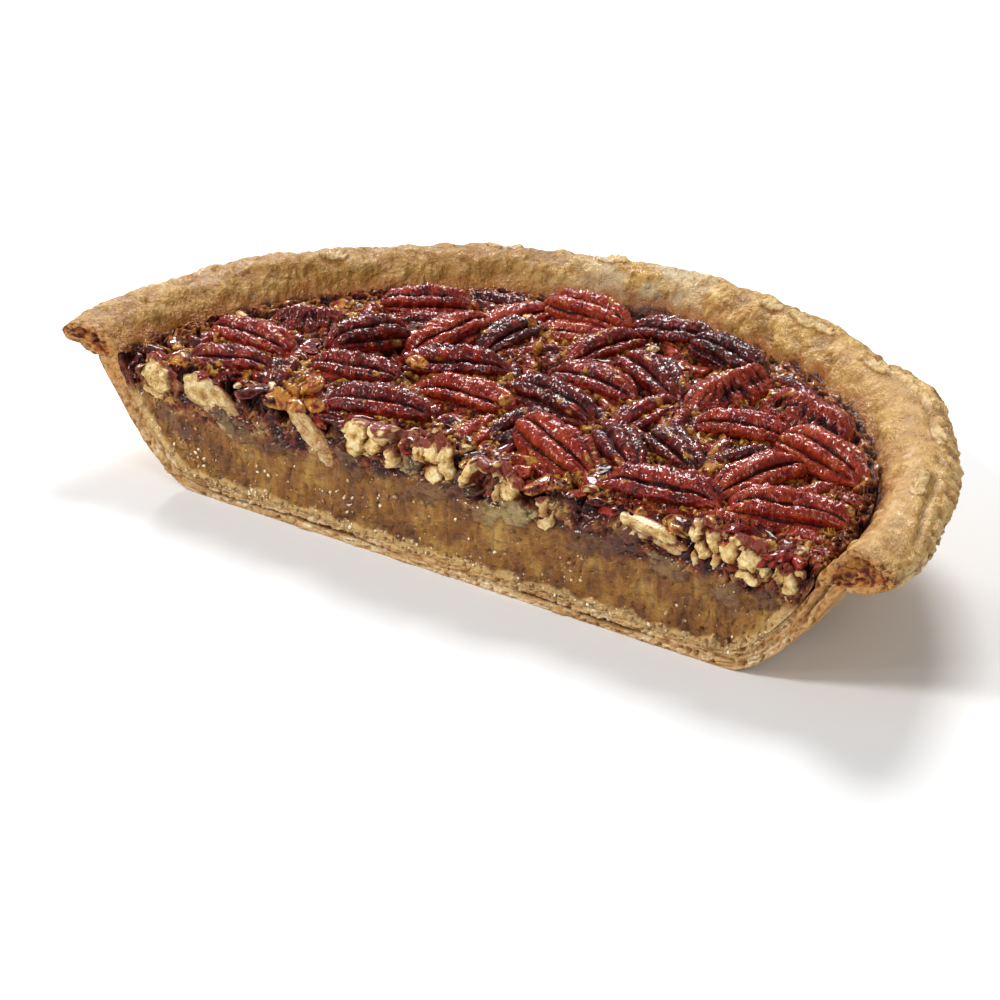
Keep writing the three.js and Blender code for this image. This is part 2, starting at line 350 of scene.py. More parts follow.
def crust_relief(turn, r, z, down):
    """How far the baked surface stands out, and the marks that its finish reads."""
    place = np.stack([r * np.cos(turn), r * np.sin(turn), z], -1)
    along = np.stack([turn * RIM_MIDDLE, r + 0 * turn, z], -1)
    rim = smooth_step(102, 107, r) * smooth_step(27, 31, z)
    top = rim * (1 - down)
    right_side = 1 - smooth_step(0.95, 1.2, turn)
    rough = 0.45 + 0.55 * smooth_step(0.9, 1.5, turn)
    swell = waver(place, 8, 2, 1)
    billow = 1.6 * waver(place, 4.2, 1, 2)
    pimple = np.abs(waver(place, 2.4, 1, 3)) * 2.2 - 0.5
    fine = waver(place, 1, 1, 9)
    streak = waver(along / (0.9, 9, 9), 1, 2, 4)
    # Blisters run down the inside of the rim towards the filling.
    inside = top * smooth_step(111, 106, r)
    away, _, luck = cells(along / (2.6, 4.6, 4.6), 1, 5)
    blister = inside * smooth_step(0.62, 0.1, away) * smooth_step(-0.3, 0.2, luck)
    edge = crease_radius(turn) + 0.8 * waver(along, 9, 1, 5)
    crease = np.exp(-(((r - edge) / 0.6) ** 2)) * top * right_side
    crease *= smooth_step(-0.25, 0.15, waver(along, 11, 2, 12))
    beyond = smooth_step(0, 1.2, r - edge) * rim * right_side
    torn = 1 - np.abs(waver(along / (4, 2.2, 1.5), 1, 3, 6)) * 2.4
    ragged = 0.45 * waver(along, 3.2, 3, 10)
    scab = 0 * r
    for where, reach, long, broad in FLAKES:
        span = np.hypot((turn - where) * RIM_MIDDLE / long, (r - reach) / broad) + ragged
        scab = np.maximum(scab, top * smooth_step(1.02, 0.86, span))
    flake = waver(along / (2.4, 1.2, 1), 1, 2, 11)
    rise = 0.2 * swell + 0.16 * billow * (z > 3) + 0.06 * pimple + 0.03 * fine
    rise += rim * rough * (0.6 * swell + 0.3 * billow + 0.34 * pimple + 0.1 * fine)
    rise += top * (0.07 + 0.09 * right_side) * streak + 1.1 * blister
    rise += scab * (0.7 + 0.5 * smooth_step(-0.1, 0.15, flake))
    rise += beyond * (0.65 * torn + 0.3 * waver(along, 2.2, 2, 7)) - 1.2 * crease
    notch = np.exp(-(((turn - NOTCH_AT) / 0.02) ** 2)) * rim * smooth_step(111, 118, r)
    rise -= 1.4 * notch
    edge_ramp = smooth_step(INNER_LEVEL + 7.5, INNER_LEVEL - 0.5, z + 1.6 * swell - 1.2 * billow)
    marks = {
        "stain": edge_ramp * smooth_step(20, 26, z) * (1 - down) * (r < 110),
        # Darker along the crease and in the notch: painted shade in the fold.
        "crease": np.clip(crease + 0.8 * notch, 0, 1),
        "edge": beyond,
        "flake": scab,
        "flour": rim
        * np.exp(-(((turn - FLOUR_AT) / 0.16) ** 2))
        * smooth_step(-0.35, 0.15, waver(place, 8, 2, 8)),
        # Lighter where the surface stands out: partly the blisters' paler colour, partly painted light on
        # the raised lumps and painted shade in the lows.
        "high": np.clip(0.35 + 0.3 * swell + 0.45 * billow + 0.25 * pimple + 0.6 * blister, 0, 1),
        "smooth": right_side * top,
        # The left of the rim is painted darker: painted shade.
        "dusk": rim * smooth_step(1.75, 2.1, turn) * (1 - 0.35 * smooth_step(2.5, 2.9, turn)),
        "wall": smooth_step(29, 26, z) * down,
    }
    return rise, marks


def wander(turn, r, z):
    """The hand-made rim's drift in and out and up and down, as in the solid."""
    start = RIM_MIDDLE - 9
    share = smooth_step(start, start + 6, r) * smooth_step(WALL_TOP - 4, WALL_TOP, z)
    out = 0.8 * np.sin(9 * turn + 1) + 0.6 * np.sin(17 * turn)
    lift = 0.5 * np.sin(7 * turn + 2) + 0.4 * np.sin(15 * turn + 1)
    return share * out, share * lift


def crust_points(turn, rows):
    """The crust's skin at a column of turns: points and marks, by turn and along the section."""
    pairs = [section(t, rows) for t in turn]
    outer = np.array([p[0] for p in pairs])
    inner = np.array([p[1] for p in pairs])
    line = np.concatenate([outer, inner[:, -2::-1]], 1)
    r, z = line[..., 0], line[..., 1]
    dr, dz = np.gradient(r, axis=1), np.gradient(z, axis=1)
    length = np.hypot(dr, dz) + 1e-9
    down = np.zeros_like(r)
    down[:, : outer.shape[1] - 1] = 1
    wide = np.repeat(turn[:, None], r.shape[1], 1)
    rise, marks = crust_relief(wide, r, z, down)
    flat = smooth_step(0, 1.5, z) * smooth_step(40, 60, r)
    out, lift = wander(wide, r, z)
    radius = r + out + rise * flat * dz / length
    height = np.maximum(z + lift - rise * flat * dr / length, 0)
    radius = np.minimum(radius, REACH + 1)
    points = np.stack([radius * np.cos(wide), radius * np.sin(wide), height], -1)
    return points, marks


def grid(rows, columns, closed=False):
    """Four-sided faces of a grid of points, stored row by row. closed joins last row to first."""
    r = np.arange(rows if closed else rows - 1)[:, None]
    c = np.arange(columns - 1)[None, :]
    here = r * columns + c
    there = ((r + 1) % rows) * columns + c
    return np.stack([here, there, there + 1, here + 1], -1).reshape(-1, 4)


def bare_mesh(name, points, faces, marks):
    """A mesh from points in millimetres from the pie's centre, and the marks that it carries."""
    mesh = bpy.data.meshes.new(name)
    flat = np.asarray(points, float).reshape(-1, 3) / 1000 + np.array(AXIS)
    mesh.from_pydata(flat.tolist(), [], np.asarray(faces).tolist())
    for mark, values in marks.items():
        attribute = mesh.attributes.new(mark, "FLOAT", "POINT")
        attribute.data.foreach_set("value", np.asarray(values, np.float32).reshape(-1))
    return mesh


def in_frame(name, mesh, node):
    """Puts a mesh in the scene, in place of a solid and riding on the pie's body."""
    made = bpy.data.objects.new(name, mesh)
    scene.collection.objects.link(made)
    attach(made, "root")
    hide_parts(node)


def piece(name, points, faces, finish, node, marks, corner=None):
    """A piece of one closed or open skin. Edges that turn by more than the corner angle stay
    sharp."""
    mesh = bare_mesh(name, points, faces, marks)
    body = bmesh.new()
    body.from_mesh(mesh)
    bmesh.ops.remove_doubles(body, verts=body.verts, dist=2e-6)
    bmesh.ops.dissolve_degenerate(body, edges=body.edges, dist=1e-7)
    bmesh.ops.recalc_face_normals(body, faces=body.faces)
    body.to_mesh(mesh)
    body.free()
    mesh.shade_smooth()
    if corner:
        mesh.set_sharp_from_angle(angle=corner)
    mesh.materials.append(finish.material)
    in_frame(name, mesh, node)


def pastry():
    finish = Finish("baked pastry", Roughness=0.5, Coat_Roughness=0.35, Specular_IOR_Level=0.35)
    finish.soak(0.1, (1, 0.5, 0.2), 0.002)
    cloud = finish.grain(15, 3, seed=1)
    blotch = finish.grain(4.5, 3, seed=2)
    speck = finish.grain(1, 2, seed=3)
    streak = finish.grain(1.2, 2, stretch=(1, 1, 6), seed=4)
    rust = finish.grain(10, 2, seed=22).between(0.5, 0.68)
    edge, flake, stain = [finish.mark(name) for name in ("edge", "flake", "stain")]
    calm = finish.mark("smooth") * (0.4 + 0.3 * cloud.between(0.42, 0.6))
    # A dark ring round each lifted flake: painted shade under its edge.
    flake_edge_shade = flake.between(0.02, 0.25) * (1 - flake.between(0.35, 0.7))
    # The tone follows the relief: painted light on the high parts, painted shade on the low.
    baked = (cloud * 0.45 + blotch * 0.4 + finish.mark("high") * 0.45 - 0.17).ramp(
        (0.24, "8e6324"), (0.38, "af8138"), (0.5, "c4994e"), (0.64, "d6af64"), (0.82, "ecd498")
    )
    baked = finish.over(
        baked,
        (rust * 0.4, "b06c2a"),
        ((speck + streak * 0.5).between(0.76, 1.0) * 0.4, "e8cf98"),
        ((0.5 - speck).between(0.03, 0.2) * 0.4, "80541c"),
        (calm, "c09352"),
        (edge * blotch.between(0.4, 0.6) * 0.7, "dcba78"),
        (edge * (1 - blotch).between(0.5, 0.68) * 0.6, "7d5322"),
        (finish.mark("flour") * 0.7, "d3c4a0"),
        # Painted shade over the left of the rim.
        (finish.mark("dusk") * 0.6, "8e5e12"),
        (finish.mark("wall") * 0.4, "d0a468"),
        (flake.between(0.5, 1) * 0.5, "dfc58a"),
        (flake_edge_shade * 0.65, "7c4c1c"),
        # Painted shade in the crease and the notch.
        (finish.mark("crease") * 0.6, "86602f"),
        (stain.between(0.1, 0.75) * 0.7, "a35f28"),
        (stain.between(0.72, 0.97) * 0.92, "4a0e06"),
    )
    finish.wear(
        Base_Color=baked,
        Roughness=0.55 - stain * 0.25 - cloud * 0.35,
        Coat_Weight=blotch.between(0.45, 0.7) * 0.25,
    )
    knobs = finish.grain(2, 3, seed=23)
    fine = speck * 0.45 + finish.grain(0.45, 2, seed=5) * 0.3
    finish.emboss((knobs + blotch * 0.4) * (1 - finish.mark("smooth") * 0.65) + fine, 1.3)
    return finish


SKIN_ROWS = (9, 26, 36)
turns = np.linspace(0, math.pi, TURNS)
crust_skin, crust_marks = crust_points(turns, SKIN_ROWS)
rows = crust_skin.shape[1]
pairs = (rows + 1) // 2
# The flat ends behind the cut face, where the skin's two sides are joined pair by pair.
RECESS = 1.3
points = crust_skin.reshape(-1, 3).copy()
points[:, 1] = np.maximum(points[:, 1], RECESS)
end_faces = []
for start, turned in ((0, False), ((TURNS - 1) * rows, True)):
    outer = points[start : start + pairs]
    inner = points[start + rows - 1 : start + rows - 1 - pairs : -1]
    # In the rim a groove leaves room for the hollow.
    sunk = 5 * smooth_step(106, 108, np.abs(outer[:, 0])) * smooth_step(29, 31, outer[:, 2])
    groove = [outer * (1 - share) + inner * share for share in (0.2, 0.8)]
    for line in groove:
        line[:, 1] = RECESS + sunk
    first = len(points)
    points = np.concatenate([points, *groove])
    strips = [
        [start + k for k in range(pairs)],
        [first + k for k in range(pairs)],
        [first + pairs + k for k in range(pairs)],
        [start + rows - 1 - k for k in range(pairs)],
    ]
    for one, two in zip(strips, strips[1:]):
        for k in range(pairs - 1):
            face = [one[k], one[k + 1], two[k + 1], two[k]]
            end_faces.append(face[::-1] if turned else face)
crust_finish = pastry()
spare = len(points) - crust_skin.shape[0] * rows
crust_marks = {m: np.append(values.reshape(-1), np.zeros(spare)) for m, values in crust_marks.items()}
piece(
    "crust_shell",
    points,
    np.concatenate([grid(TURNS, rows), np.array(end_faces)]),
    crust_finish,
    "crust",
    crust_marks,
)

# ---------------------------------------------------------------------------------------------
# The crust's cut face. Where the knife went through, the pastry shows its layers, and the
# rolled rim shows its hollow with torn webs. It is a thin slab on the crust's flat ends.
# ---------------------------------------------------------------------------------------------

CUT_ROWS = (170, 80, 70)
ACROSS = 30


def cut_crust(turn):
    """One half of the slab, from the pie's centre to the tip of the rim."""
    skin, _ = crust_points(np.array([turn, turn + 1e-3]), CUT_ROWS)
    line = skin[0]
    count = (len(line) + 1) // 2
    outer, inner = line[:count], line[: count - 2 : -1]
    share = np.linspace(0, 1, ACROSS)[None, :, None]
    face = outer[:, None] * (1 - share) + inner[:, None] * share
    thick = np.linalg.norm(inner - outer, axis=1)[:, None]
    path = np.concatenate([[0], np.cumsum(np.linalg.norm(np.diff(outer, axis=0), axis=1))])
    share = np.repeat(share[..., 0], len(face), 0)
    path = np.repeat(path[:, None], ACROSS, 1)
    to_edge = np.minimum(share, 1 - share) * thick
    to_tip = np.linalg.norm(face - face[-1:, :1], axis=-1)
    inset = np.minimum(to_edge, to_tip * 0.7)
    side = math.cos(turn) + 0 * share
    layered = np.stack([path / 11, share * thick / 0.55, side * 4], -1)
    loose = np.stack([face[..., 0], face[..., 2], side * 9], -1)
    layer = waver(layered, 1, 3, 11)
    crumb = 1 - np.abs(waver(loose, 2.2, 3, 12)) * 2.5
    fine = waver(loose, 0.7, 2, 13)
    flaky = smooth_step(-0.1, 0.3, waver(layered * (2.4, 0.45, 1), 1, 2, 62)) * (path < 100)
    depth = 0.5 + 0.6 * layer - 0.65 * crumb + 0.25 * fine - 0.5 * flaky
    bend = 0.5 + 0.14 * waver(layered * (0.4, 0, 1), 1, 2, 14)
    torn = smooth_step(-0.2, 0.2, waver(layered * (0.3, 0, 1), 1, 1, 15))
    crack = np.exp(-(((share - bend) * thick / 0.36) ** 2)) * torn * (path > 14) * (thick < 7)
    in_rim = smooth_step(105.5, 108, np.abs(face[..., 0])) * smooth_step(29, 31, face[..., 2])
    rind = 1.3 + 0.8 * waver(loose, 3, 2, 16)
    hollow = smooth_step(rind, rind + 0.8, inset) * in_rim
    web = smooth_step(0.66, 0.9, 1 - np.abs(waver(loose / (1.25, 0.9, 1), 3, 2, 17)) * 2.6)
    deep = hollow * (0.6 + 2 * smooth_step(rind, rind + 2.4, inset) + 0.8 * waver(loose, 1.8, 2, 18))
    deep *= 1 - 0.35 * web
    depth = depth * (1 - hollow) + deep + 1.3 * crack * (1 - hollow)
    face = face.copy()
    face[..., 1] = np.clip(depth, -0.7, 5) * smooth_step(0, 0.3, inset)
    marks = {
        "layer": np.clip(0.5 + 0.5 * layer + 0.25 * (crumb - 0.4), 0, 1),
        # The cracks are painted dark: painted shade in the gaps between the layers.
        "crack": np.clip(crack, 0, 1),
        # The hollow is painted dark and its webs lighter: painted shade in the hollow.
        "hollow": hollow * (1 - 0.7 * web),
        "web": hollow * web,
        "rind": 1 - smooth_step(0.15, 0.9, share * thick + 0.25 * crumb),
        "rim": np.maximum(in_rim * (1 - hollow), 0.8 * smooth_step(8, 26, face[..., 2])),
    }
    return face, marks


def cut_pastry():
    finish = Finish("cut pastry", Roughness=0.55, Specular_IOR_Level=0.4)
    finish.soak(0.05, (1, 0.6, 0.3), 0.0015)
    patch = finish.grain(6, 3, seed=6)
    speck = finish.grain(0.9, 3, seed=7)
    straw = finish.grain(1.8, 3, stretch=(1.8, 1, 1), seed=26)
    # Inside the rim's hollow the colour runs dark red-brown: painted shade in the hollow.
    inside = straw.ramp((0.4, "4e1408"), (0.5, "8c4616"), (0.62, "c98a3e"))
    tone = (finish.mark("layer") * 0.5 + patch * 0.5 + speck * 0.3 - 0.14).ramp(
        (0.22, "95602c"), (0.4, "bf9056"), (0.56, "d6b07a"), (0.76, "f0deba")
    )
    tone = finish.over(
        tone,
        (finish.mark("rind") * 0.6, "b98545"),
        (finish.mark("rim") * 0.75, "b67a34"),
        (speck.between(0.62, 0.7) * 0.2, "9c6a34"),
        # Painted shade in the cracks.
        (finish.mark("crack") * 0.9, "4f2c12"),
        (finish.mark("hollow").between(0.05, 0.5), inside),
        (finish.mark("web") * 0.8, "b97c3a"),
    )
    finish.wear(Base_Color=tone, Roughness=0.6 - patch * 0.3)
    finish.emboss(speck + finish.grain(0.4, 2, seed=8) * 0.6, 0.6)
    return finish


slab_points, slab_faces, slab_marks, offset = [], [], {}, 0
for turn in (0, math.pi - 1e-3):
    front, marks = cut_crust(turn)
    behind = front.copy()
    behind[..., 1] = np.maximum(front[..., 1] + 0.4, RECESS + 0.6)
    rows_here, columns_here = front.shape[:2]
    sheet = grid(rows_here, columns_here)
    count = rows_here * columns_here
    ring = [k * columns_here for k in range(rows_here)]
    ring += [(rows_here - 1) * columns_here + k for k in range(1, columns_here)]
    ring += [k * columns_here + columns_here - 1 for k in range(rows_here - 2, -1, -1)]
    ring += list(range(columns_here - 2, 0, -1))
    side = [[a, b, b + count, a + count] for a, b in zip(ring, ring[1:] + ring[:1])]
    slab_points += [front.reshape(-1, 3), behind.reshape(-1, 3)]
    slab_faces += [sheet + offset, sheet[:, ::-1] + count + offset, np.array(side) + offset]
    for mark, values in marks.items():
        slab_marks.setdefault(mark, []).extend([values.reshape(-1)] * 2)
    offset += 2 * count
piece(
    "crust_cut",
    np.concatenate(slab_points),
    np.concatenate(slab_faces),
    cut_pastry(),
    "crust",
    {mark: np.concatenate(values) for mark, values in slab_marks.items()},
)

# ---------------------------------------------------------------------------------------------
# The custard. Brown sugar, syrup and egg, set to a soft gel, which the knife dragged as it went
# down. Its section is swept across the pie, and the front is pushed into streaks and pits.
# ---------------------------------------------------------------------------------------------

FILL_COLUMNS = 430
custard_low, custard_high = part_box("custard")
layer_low, layer_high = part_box("pecan_layer")
CUSTARD_BOTTOM = (custard_low.z - AXIS.z) * 1000 - 0.3
SEAM = (custard_high.z + layer_low.z - 2 * AXIS.z) * 500
FILL_TOP = (layer_high.z - AXIS.z) * 1000

# On the cut face nuts start to show here, a little above the solids' seam.
NUTS_SHOW = 21.4
# Bits of nut sunk in the cut face: middle across and up, half width, half height, tilt in
# degrees, and how pale they are.
SUNKEN = [
    (-84, 18, 7, 3, -25, 0.3), (-66, 22, 8, 2.5, -20, 0.55), (-54, 20, 6, 2.5, 10, 0.35),
    (-30, 22, 6, 2.5, -30, 0.4), (-12, 26, 4.5, 2.6, -30, 0.85), (-7, 21.5, 7, 3, 15, 0.45),
    (4, 25, 4, 3, 20, 0.3), (11, 20, 4.5, 3, -15, 0.75), (19, 23, 5.5, 3, 10, 0.9),
    (40, 22, 7, 4, -10, 0.12), (50, 24, 5, 3, 0, 0.25), (63, 21.5, 6, 2.6, -10, 0.6),
    (79, 19.5, 5, 3, 20, 0.55), (90, 21, 4, 3, 30, 0.35),
]


def cut_relief(x, z):
    """How far the cut face lies behind the knife's plane."""
    place = np.stack([x, z, 0 * x], -1)
    level = NUTS_SHOW + 2.5 * waver(place * (1, 0, 0), 16, 2, 20) + 1.2 * waver(place, 5, 1, 21)
    nuts = smooth_step(level - 1.8, level + 1.8, z)
    drag = waver(place / (1, 5, 1), 1, 2, 22)
    lump = waver(place, 5, 2, 23)
    pit = np.maximum(waver(place, 2, 2, 24) - 0.3, 0)
    chunk = waver(place / (1.3, 1, 1), 4.5, 2, 25)
    torn = 1 - np.abs(waver(place, 2, 3, 26)) * 2.4
    sunk, pale = 0 * x, 0 * x
    for middle, height, wide, tall, tilt, tone in SUNKEN:
        c, s = math.cos(math.radians(tilt)), math.sin(math.radians(tilt))
        u, v = (x - middle) * c + (z - height) * s, (z - height) * c - (x - middle) * s
        inside = smooth_step(1.1, 0.85, np.hypot(u / wide, v / tall) + 0.55 * waver(place, 3, 3, 37))
        sunk = np.maximum(sunk, inside)
        pale = np.where(inside > 0.4, tone, pale)
    gully = nuts * smooth_step(21, 30, z) * (1 - sunk)
    seam = nuts * smooth_step(0.13, 0.02, np.abs(waver(place / (1.4, 1, 1), 3.4, 2, 38)))
    # Short tears that the knife left in the gel, each with a lip that catches the light.
    tear = smooth_step(0.14, 0.26, waver(place / (1, 2.6, 1), 1.5, 2, 36))
    dimple = waver(place / (1, 1, 1.5), 1.0, 2, 61)
    relief = (1 - nuts) * (0.08 * drag + 0.3 * lump + 1.1 * pit + 0.55 * tear + 0.2 * dimple)
    relief += nuts * (0.5 * chunk - 0.5 * torn + 0.08 * drag + 0.4) - 0.7 * sunk
    relief += gully * (1.4 + 1.8 * waver(place, 6, 2, 27) - 0.6 * torn) + 0.5 * seam
    # Near the top edge the knife crumbled the filling away.
    relief += smooth_step(FILL_TOP - 6, FILL_TOP, z) ** 2 * (1.6 + 2.2 * waver(place * (1, 0, 0), 7, 2, 28))
    to_wall = inside_radius(np.maximum(z, WALL_START)) - np.abs(x)
    ragged = 1.8 * waver(place, 5, 3, 29)
    near_crust = smooth_step(6.6, 5.6, z + ragged) + smooth_step(3.6, 2, to_wall + ragged)
    near_crust = np.clip(near_crust, 0, 1)
    relief = relief * smooth_step(0, 2, to_wall) - near_crust * (0.35 + 0.25 * torn)
    pit = pit * (1 - near_crust)
    marks = {
        "nuts": np.maximum(nuts, 0.75 * sunk),
        "drag": np.clip(0.5 + 0.5 * drag, 0, 1),
        "chunk": np.clip(0.5 - 0.6 * chunk + 0.25 * torn, 0, 1),
        # Darker in the pits and tears: painted shade in them.
        "pit": np.clip(pit * 2 + 0.5 * tear * (1 - near_crust), 0, 1),
        "sunk": sunk,
        "pale": pale,
        # Darkest where the gullies lie furthest back and along the seams: painted shade in them.
        "deep": np.clip(gully * smooth_step(0, 2, relief) + 0.9 * seam, 0, 1),
        "wet": near_crust,
    }
    return relief, marks


def swept(loop_radius, loop_depth, loop_height, columns):
    """Points by column across the pie and round a section, each given by its radius, its share
    of the way back and its height."""
    across = np.sin(np.linspace(-1, 1, columns) * 0.48 * math.pi) / math.sin(0.48 * math.pi)
    back = np.sqrt(np.maximum(1 - across**2, 0))
    x = across[:, None] * loop_radius[None]
    y = back[:, None] * loop_radius[None] * loop_depth[None]
    z = np.repeat(loop_height[None], columns, 0)
    return np.stack([x, y, z], -1)


def cut_tone(finish):
    """The colours of the cut face, from clear gel below to nuts and syrup above."""
    cloud = finish.grain(9, 3, seed=9)
    drag = finish.grain(1.1, 3, stretch=(1, 1, 4), seed=10)
    speck = finish.grain(0.8, 2, seed=11)
    shade = finish.grain(4, 3, seed=15)
    gel = (cloud * 0.75 + drag * 0.2 + finish.mark("drag") * 0.12 - 0.02).ramp(
        (0.34, "5a330c"), (0.45, "764818"), (0.56, "8f6024"), (0.7, "b08a45")
    )
    gel = finish.over(
        gel,
        (speck.between(0.62, 0.72) * 0.3, "6a3c10"),
        # Painted shade in the pits and tears.
        (finish.mark("pit") * 0.45, "6a3a10"),
        (finish.mark("wet") * (0.3 + 0.75 * drag), "d8b478"),
    )
    sunken = finish.mark("pale").ramp((0, "3e1214"), (0.3, "63402c"), (0.6, "8a7048"), (1, "c6b276"))
    sunken = finish.mix(shade.between(0.42, 0.56) * 0.5, sunken, "5a2c24")
    nuts = (finish.mark("chunk") * 0.6 + shade * 0.65 - 0.19).ramp(
        (0.3, "260402"), (0.42, "50120a"), (0.53, "763618"), (0.66, "966330"), (0.82, "bf9c5c")
    )
    nuts = finish.over(
        # Painted shade in the gullies and seams.
        nuts, (finish.mark("sunk") * 0.8, sunken), (finish.mark("deep") * 0.9, "2e0804")
    )
    return finish.mix(finish.mark("nuts"), gel, nuts), drag * 0.6 + speck * 0.5, cloud


def custard_gel():
    finish = Finish("custard gel", Coat_Roughness=0.06, Specular_IOR_Level=0.12)
    finish.soak(0.25, (1, 0.45, 0.12), 0.003)
    tone, rough, cloud = cut_tone(finish)
    gloss = 0.35 + 0.65 * finish.mark("pit")
    finish.wear(Base_Color=tone, Roughness=0.2 + 0.4 * cloud, Coat_Weight=gloss)
    finish.emboss(rough + finish.grain(0.5, 2, seed=12) * 0.5, 0.7)
    return finish


def spread_marks(marks, shape, rows):
    """Marks known for some rows of a section, with 0 for the rest."""
    spread = {}
    for mark, values in marks.items():
        spread[mark] = np.zeros(shape)
        spread[mark][:, rows] = values
    return spread


def scatter(name, ground, faces, thick, finish, node, per_square, sizes, rough, seed):
    """Crumbs or beads strewn over a patch of ground, thickest where thick is 1."""
    tree = bpy.data.node_groups.new("strewn", "GeometryNodeTree")
    wiring = tree.interface
    wiring.new_socket("Geometry", in_out="OUTPUT", socket_type="NodeSocketGeometry")
    wiring.new_socket("Geometry", in_out="INPUT", socket_type="NodeSocketGeometry")
    settings = {"How many": per_square, "Smallest": sizes[0], "Largest": sizes[1], "Roughness": rough}
    for label in settings:
        wiring.new_socket(label, in_out="INPUT", socket_type="NodeSocketFloat")

    def add(kind, choices=None, **values):
        made = tree.nodes.new(kind)
        for key, value in (choices or {}).items():
            setattr(made, key, value)
        for label, value in values.items():
            socket = [i for i in made.inputs if i.name == label.replace("_", " ") and i.enabled][0]
            if isinstance(value, bpy.types.NodeSocket):
                tree.links.new(value, socket)
            else:
                socket.default_value = value
        return [o for o in made.outputs if o.enabled]

    given = add("NodeGroupInput")
    mark = add("GeometryNodeInputNamedAttribute", {"data_type": "FLOAT"}, Name="thick")[0]
    times = tree.nodes.new("ShaderNodeMath")
    times.operation = "MULTIPLY"
    tree.links.new(mark, times.inputs[0])
    tree.links.new(given[1], times.inputs[1])
    strewn = add(
        "GeometryNodeDistributePointsOnFaces", Mesh=given[0], Density=times.outputs[0], Seed=seed
    )[0]
    ball = add("GeometryNodeMeshUVSphere", Segments=8, Rings=5, Radius=1.0)[0]
    ball = add("GeometryNodeTransform", Geometry=ball, Scale=(1.3, 1, 0.8))[0]
    size = add("FunctionNodeRandomValue", Min=given[2], Max=given[3], Seed=seed + 1)[0]
    ways = {"data_type": "FLOAT_VECTOR"}
    turned = add("FunctionNodeRandomValue", ways, Min=(0, 0, 0), Max=(6.2, 6.2, 6.2), Seed=seed)[0]
    placed = add(
        "GeometryNodeInstanceOnPoints", Points=strewn, Instance=ball, Rotation=turned, Scale=size
    )[0]
    real = add("GeometryNodeRealizeInstances", Geometry=placed)[0]
    wobble = add("ShaderNodeTexNoise", Scale=900.0)[1]
    middle = add("ShaderNodeVectorMath", {"operation": "SUBTRACT"}, Vector=wobble)
    tree.nodes[-1].inputs[1].default_value = (0.5, 0.5, 0.5)
    push = tree.nodes.new("ShaderNodeVectorMath")
    push.operation = "SCALE"
    tree.links.new(middle[0], push.inputs[0])
    tree.links.new(given[4], push.inputs["Scale"])
    pushed = add("GeometryNodeSetPosition", Geometry=real, Offset=push.outputs[0])[0]
    smooth = add("GeometryNodeSetShadeSmooth", Geometry=pushed)[0]
    done = add("GeometryNodeSetMaterial", Geometry=smooth, Material=finish.material)[0]
    tree.links.new(done, tree.nodes.new("NodeGroupOutput").inputs[0])

    patch = bpy.data.objects.new("ground", bare_mesh("ground", ground, faces, {"thick": thick}))
    scene.collection.objects.link(patch)
    modifier = patch.modifiers.new("strewn", "NODES")
    modifier.node_group = tree
    for item in wiring.items_tree:
        if item.in_out == "INPUT" and item.name in settings:
            modifier[item.identifier] = float(settings[item.name])
    seen = patch.evaluated_get(bpy.context.evaluated_depsgraph_get())
    result = bpy.data.meshes.new_from_object(seen)
    patch.modifiers.remove(modifier)
    bpy.data.objects.remove(patch)
    in_frame(name, result, node)


front_rows = 66
heights = np.linspace(CUSTARD_BOTTOM, SEAM, front_rows)
edge_radius = inside_radius(np.maximum(heights, WALL_START)) - 6 * (heights < 4.8)
section_radius = np.concatenate([edge_radius, edge_radius[::-4]])
section_depth = np.concatenate([0 * edge_radius, 1 + 0 * edge_radius[::-4]])
section_height = np.concatenate([heights, heights[::-4]])
points = swept(section_radius, section_depth, section_height, FILL_COLUMNS)
front = slice(0, front_rows)
relief, marks = cut_relief(points[:, front, 0], points[:, front, 2])
points[:, front, 1] += relief
spread = spread_marks(marks, points.shape[:2], front)
piece(
    "custard_fill",
    points.transpose(1, 0, 2),
    grid(points.shape[1], FILL_COLUMNS, closed=True),
    custard_gel(),
    "custard",
    {mark: values.T for mark, values in spread.items()},
    corner=1.3,
)

# ---------------------------------------------------------------------------------------------
# Wet beads on the cut custard. Drops of syrup that wept out of the gel after the cut, thickest
# along the pastry. Each is a small glossy drop half sunk in the face.
# ---------------------------------------------------------------------------------------------

bead_finish = Finish("syrup bead", Roughness=0.12, Coat_Weight=1, Coat_Roughness=0.04)
# The beads' pale cream patches are painted glints: a pale colour stands in for the highlights on the wet
# drops.
bead_glint_grain = bead_finish.grain(1.6, 2, seed=25)
bead_finish.wear(Base_Color=bead_glint_grain.ramp((0.42, "74461a"), (0.53, "b5864a"), (0.64, "f6e6c4")))
face = points[:, front]
damp = 0.1 + 1.2 * spread["wet"][:, front] * (1 - spread["nuts"][:, front])
damp += 1.1 * smooth_step(0.05, 0.5, waver(face * (1, 0, 1), 13, 2, 30)) * (1 - spread["nuts"][:, front])
scatter(
    "syrup_beads", face.transpose(1, 0, 2), grid(front_rows, FILL_COLUMNS), damp.T, bead_finish,
    "custard", 150000, (0.00018, 0.00058), 0.0006, 3,
)

# ---------------------------------------------------------------------------------------------
# The glazed layer of nuts. Pieces of pecan in dark syrup, which boiled up between the halves
# and set as a sticky froth with holes in it. It is swept across the pie like the custard.
# ---------------------------------------------------------------------------------------------

TOP_ROWS = 180
LAYER_FRONT = 40


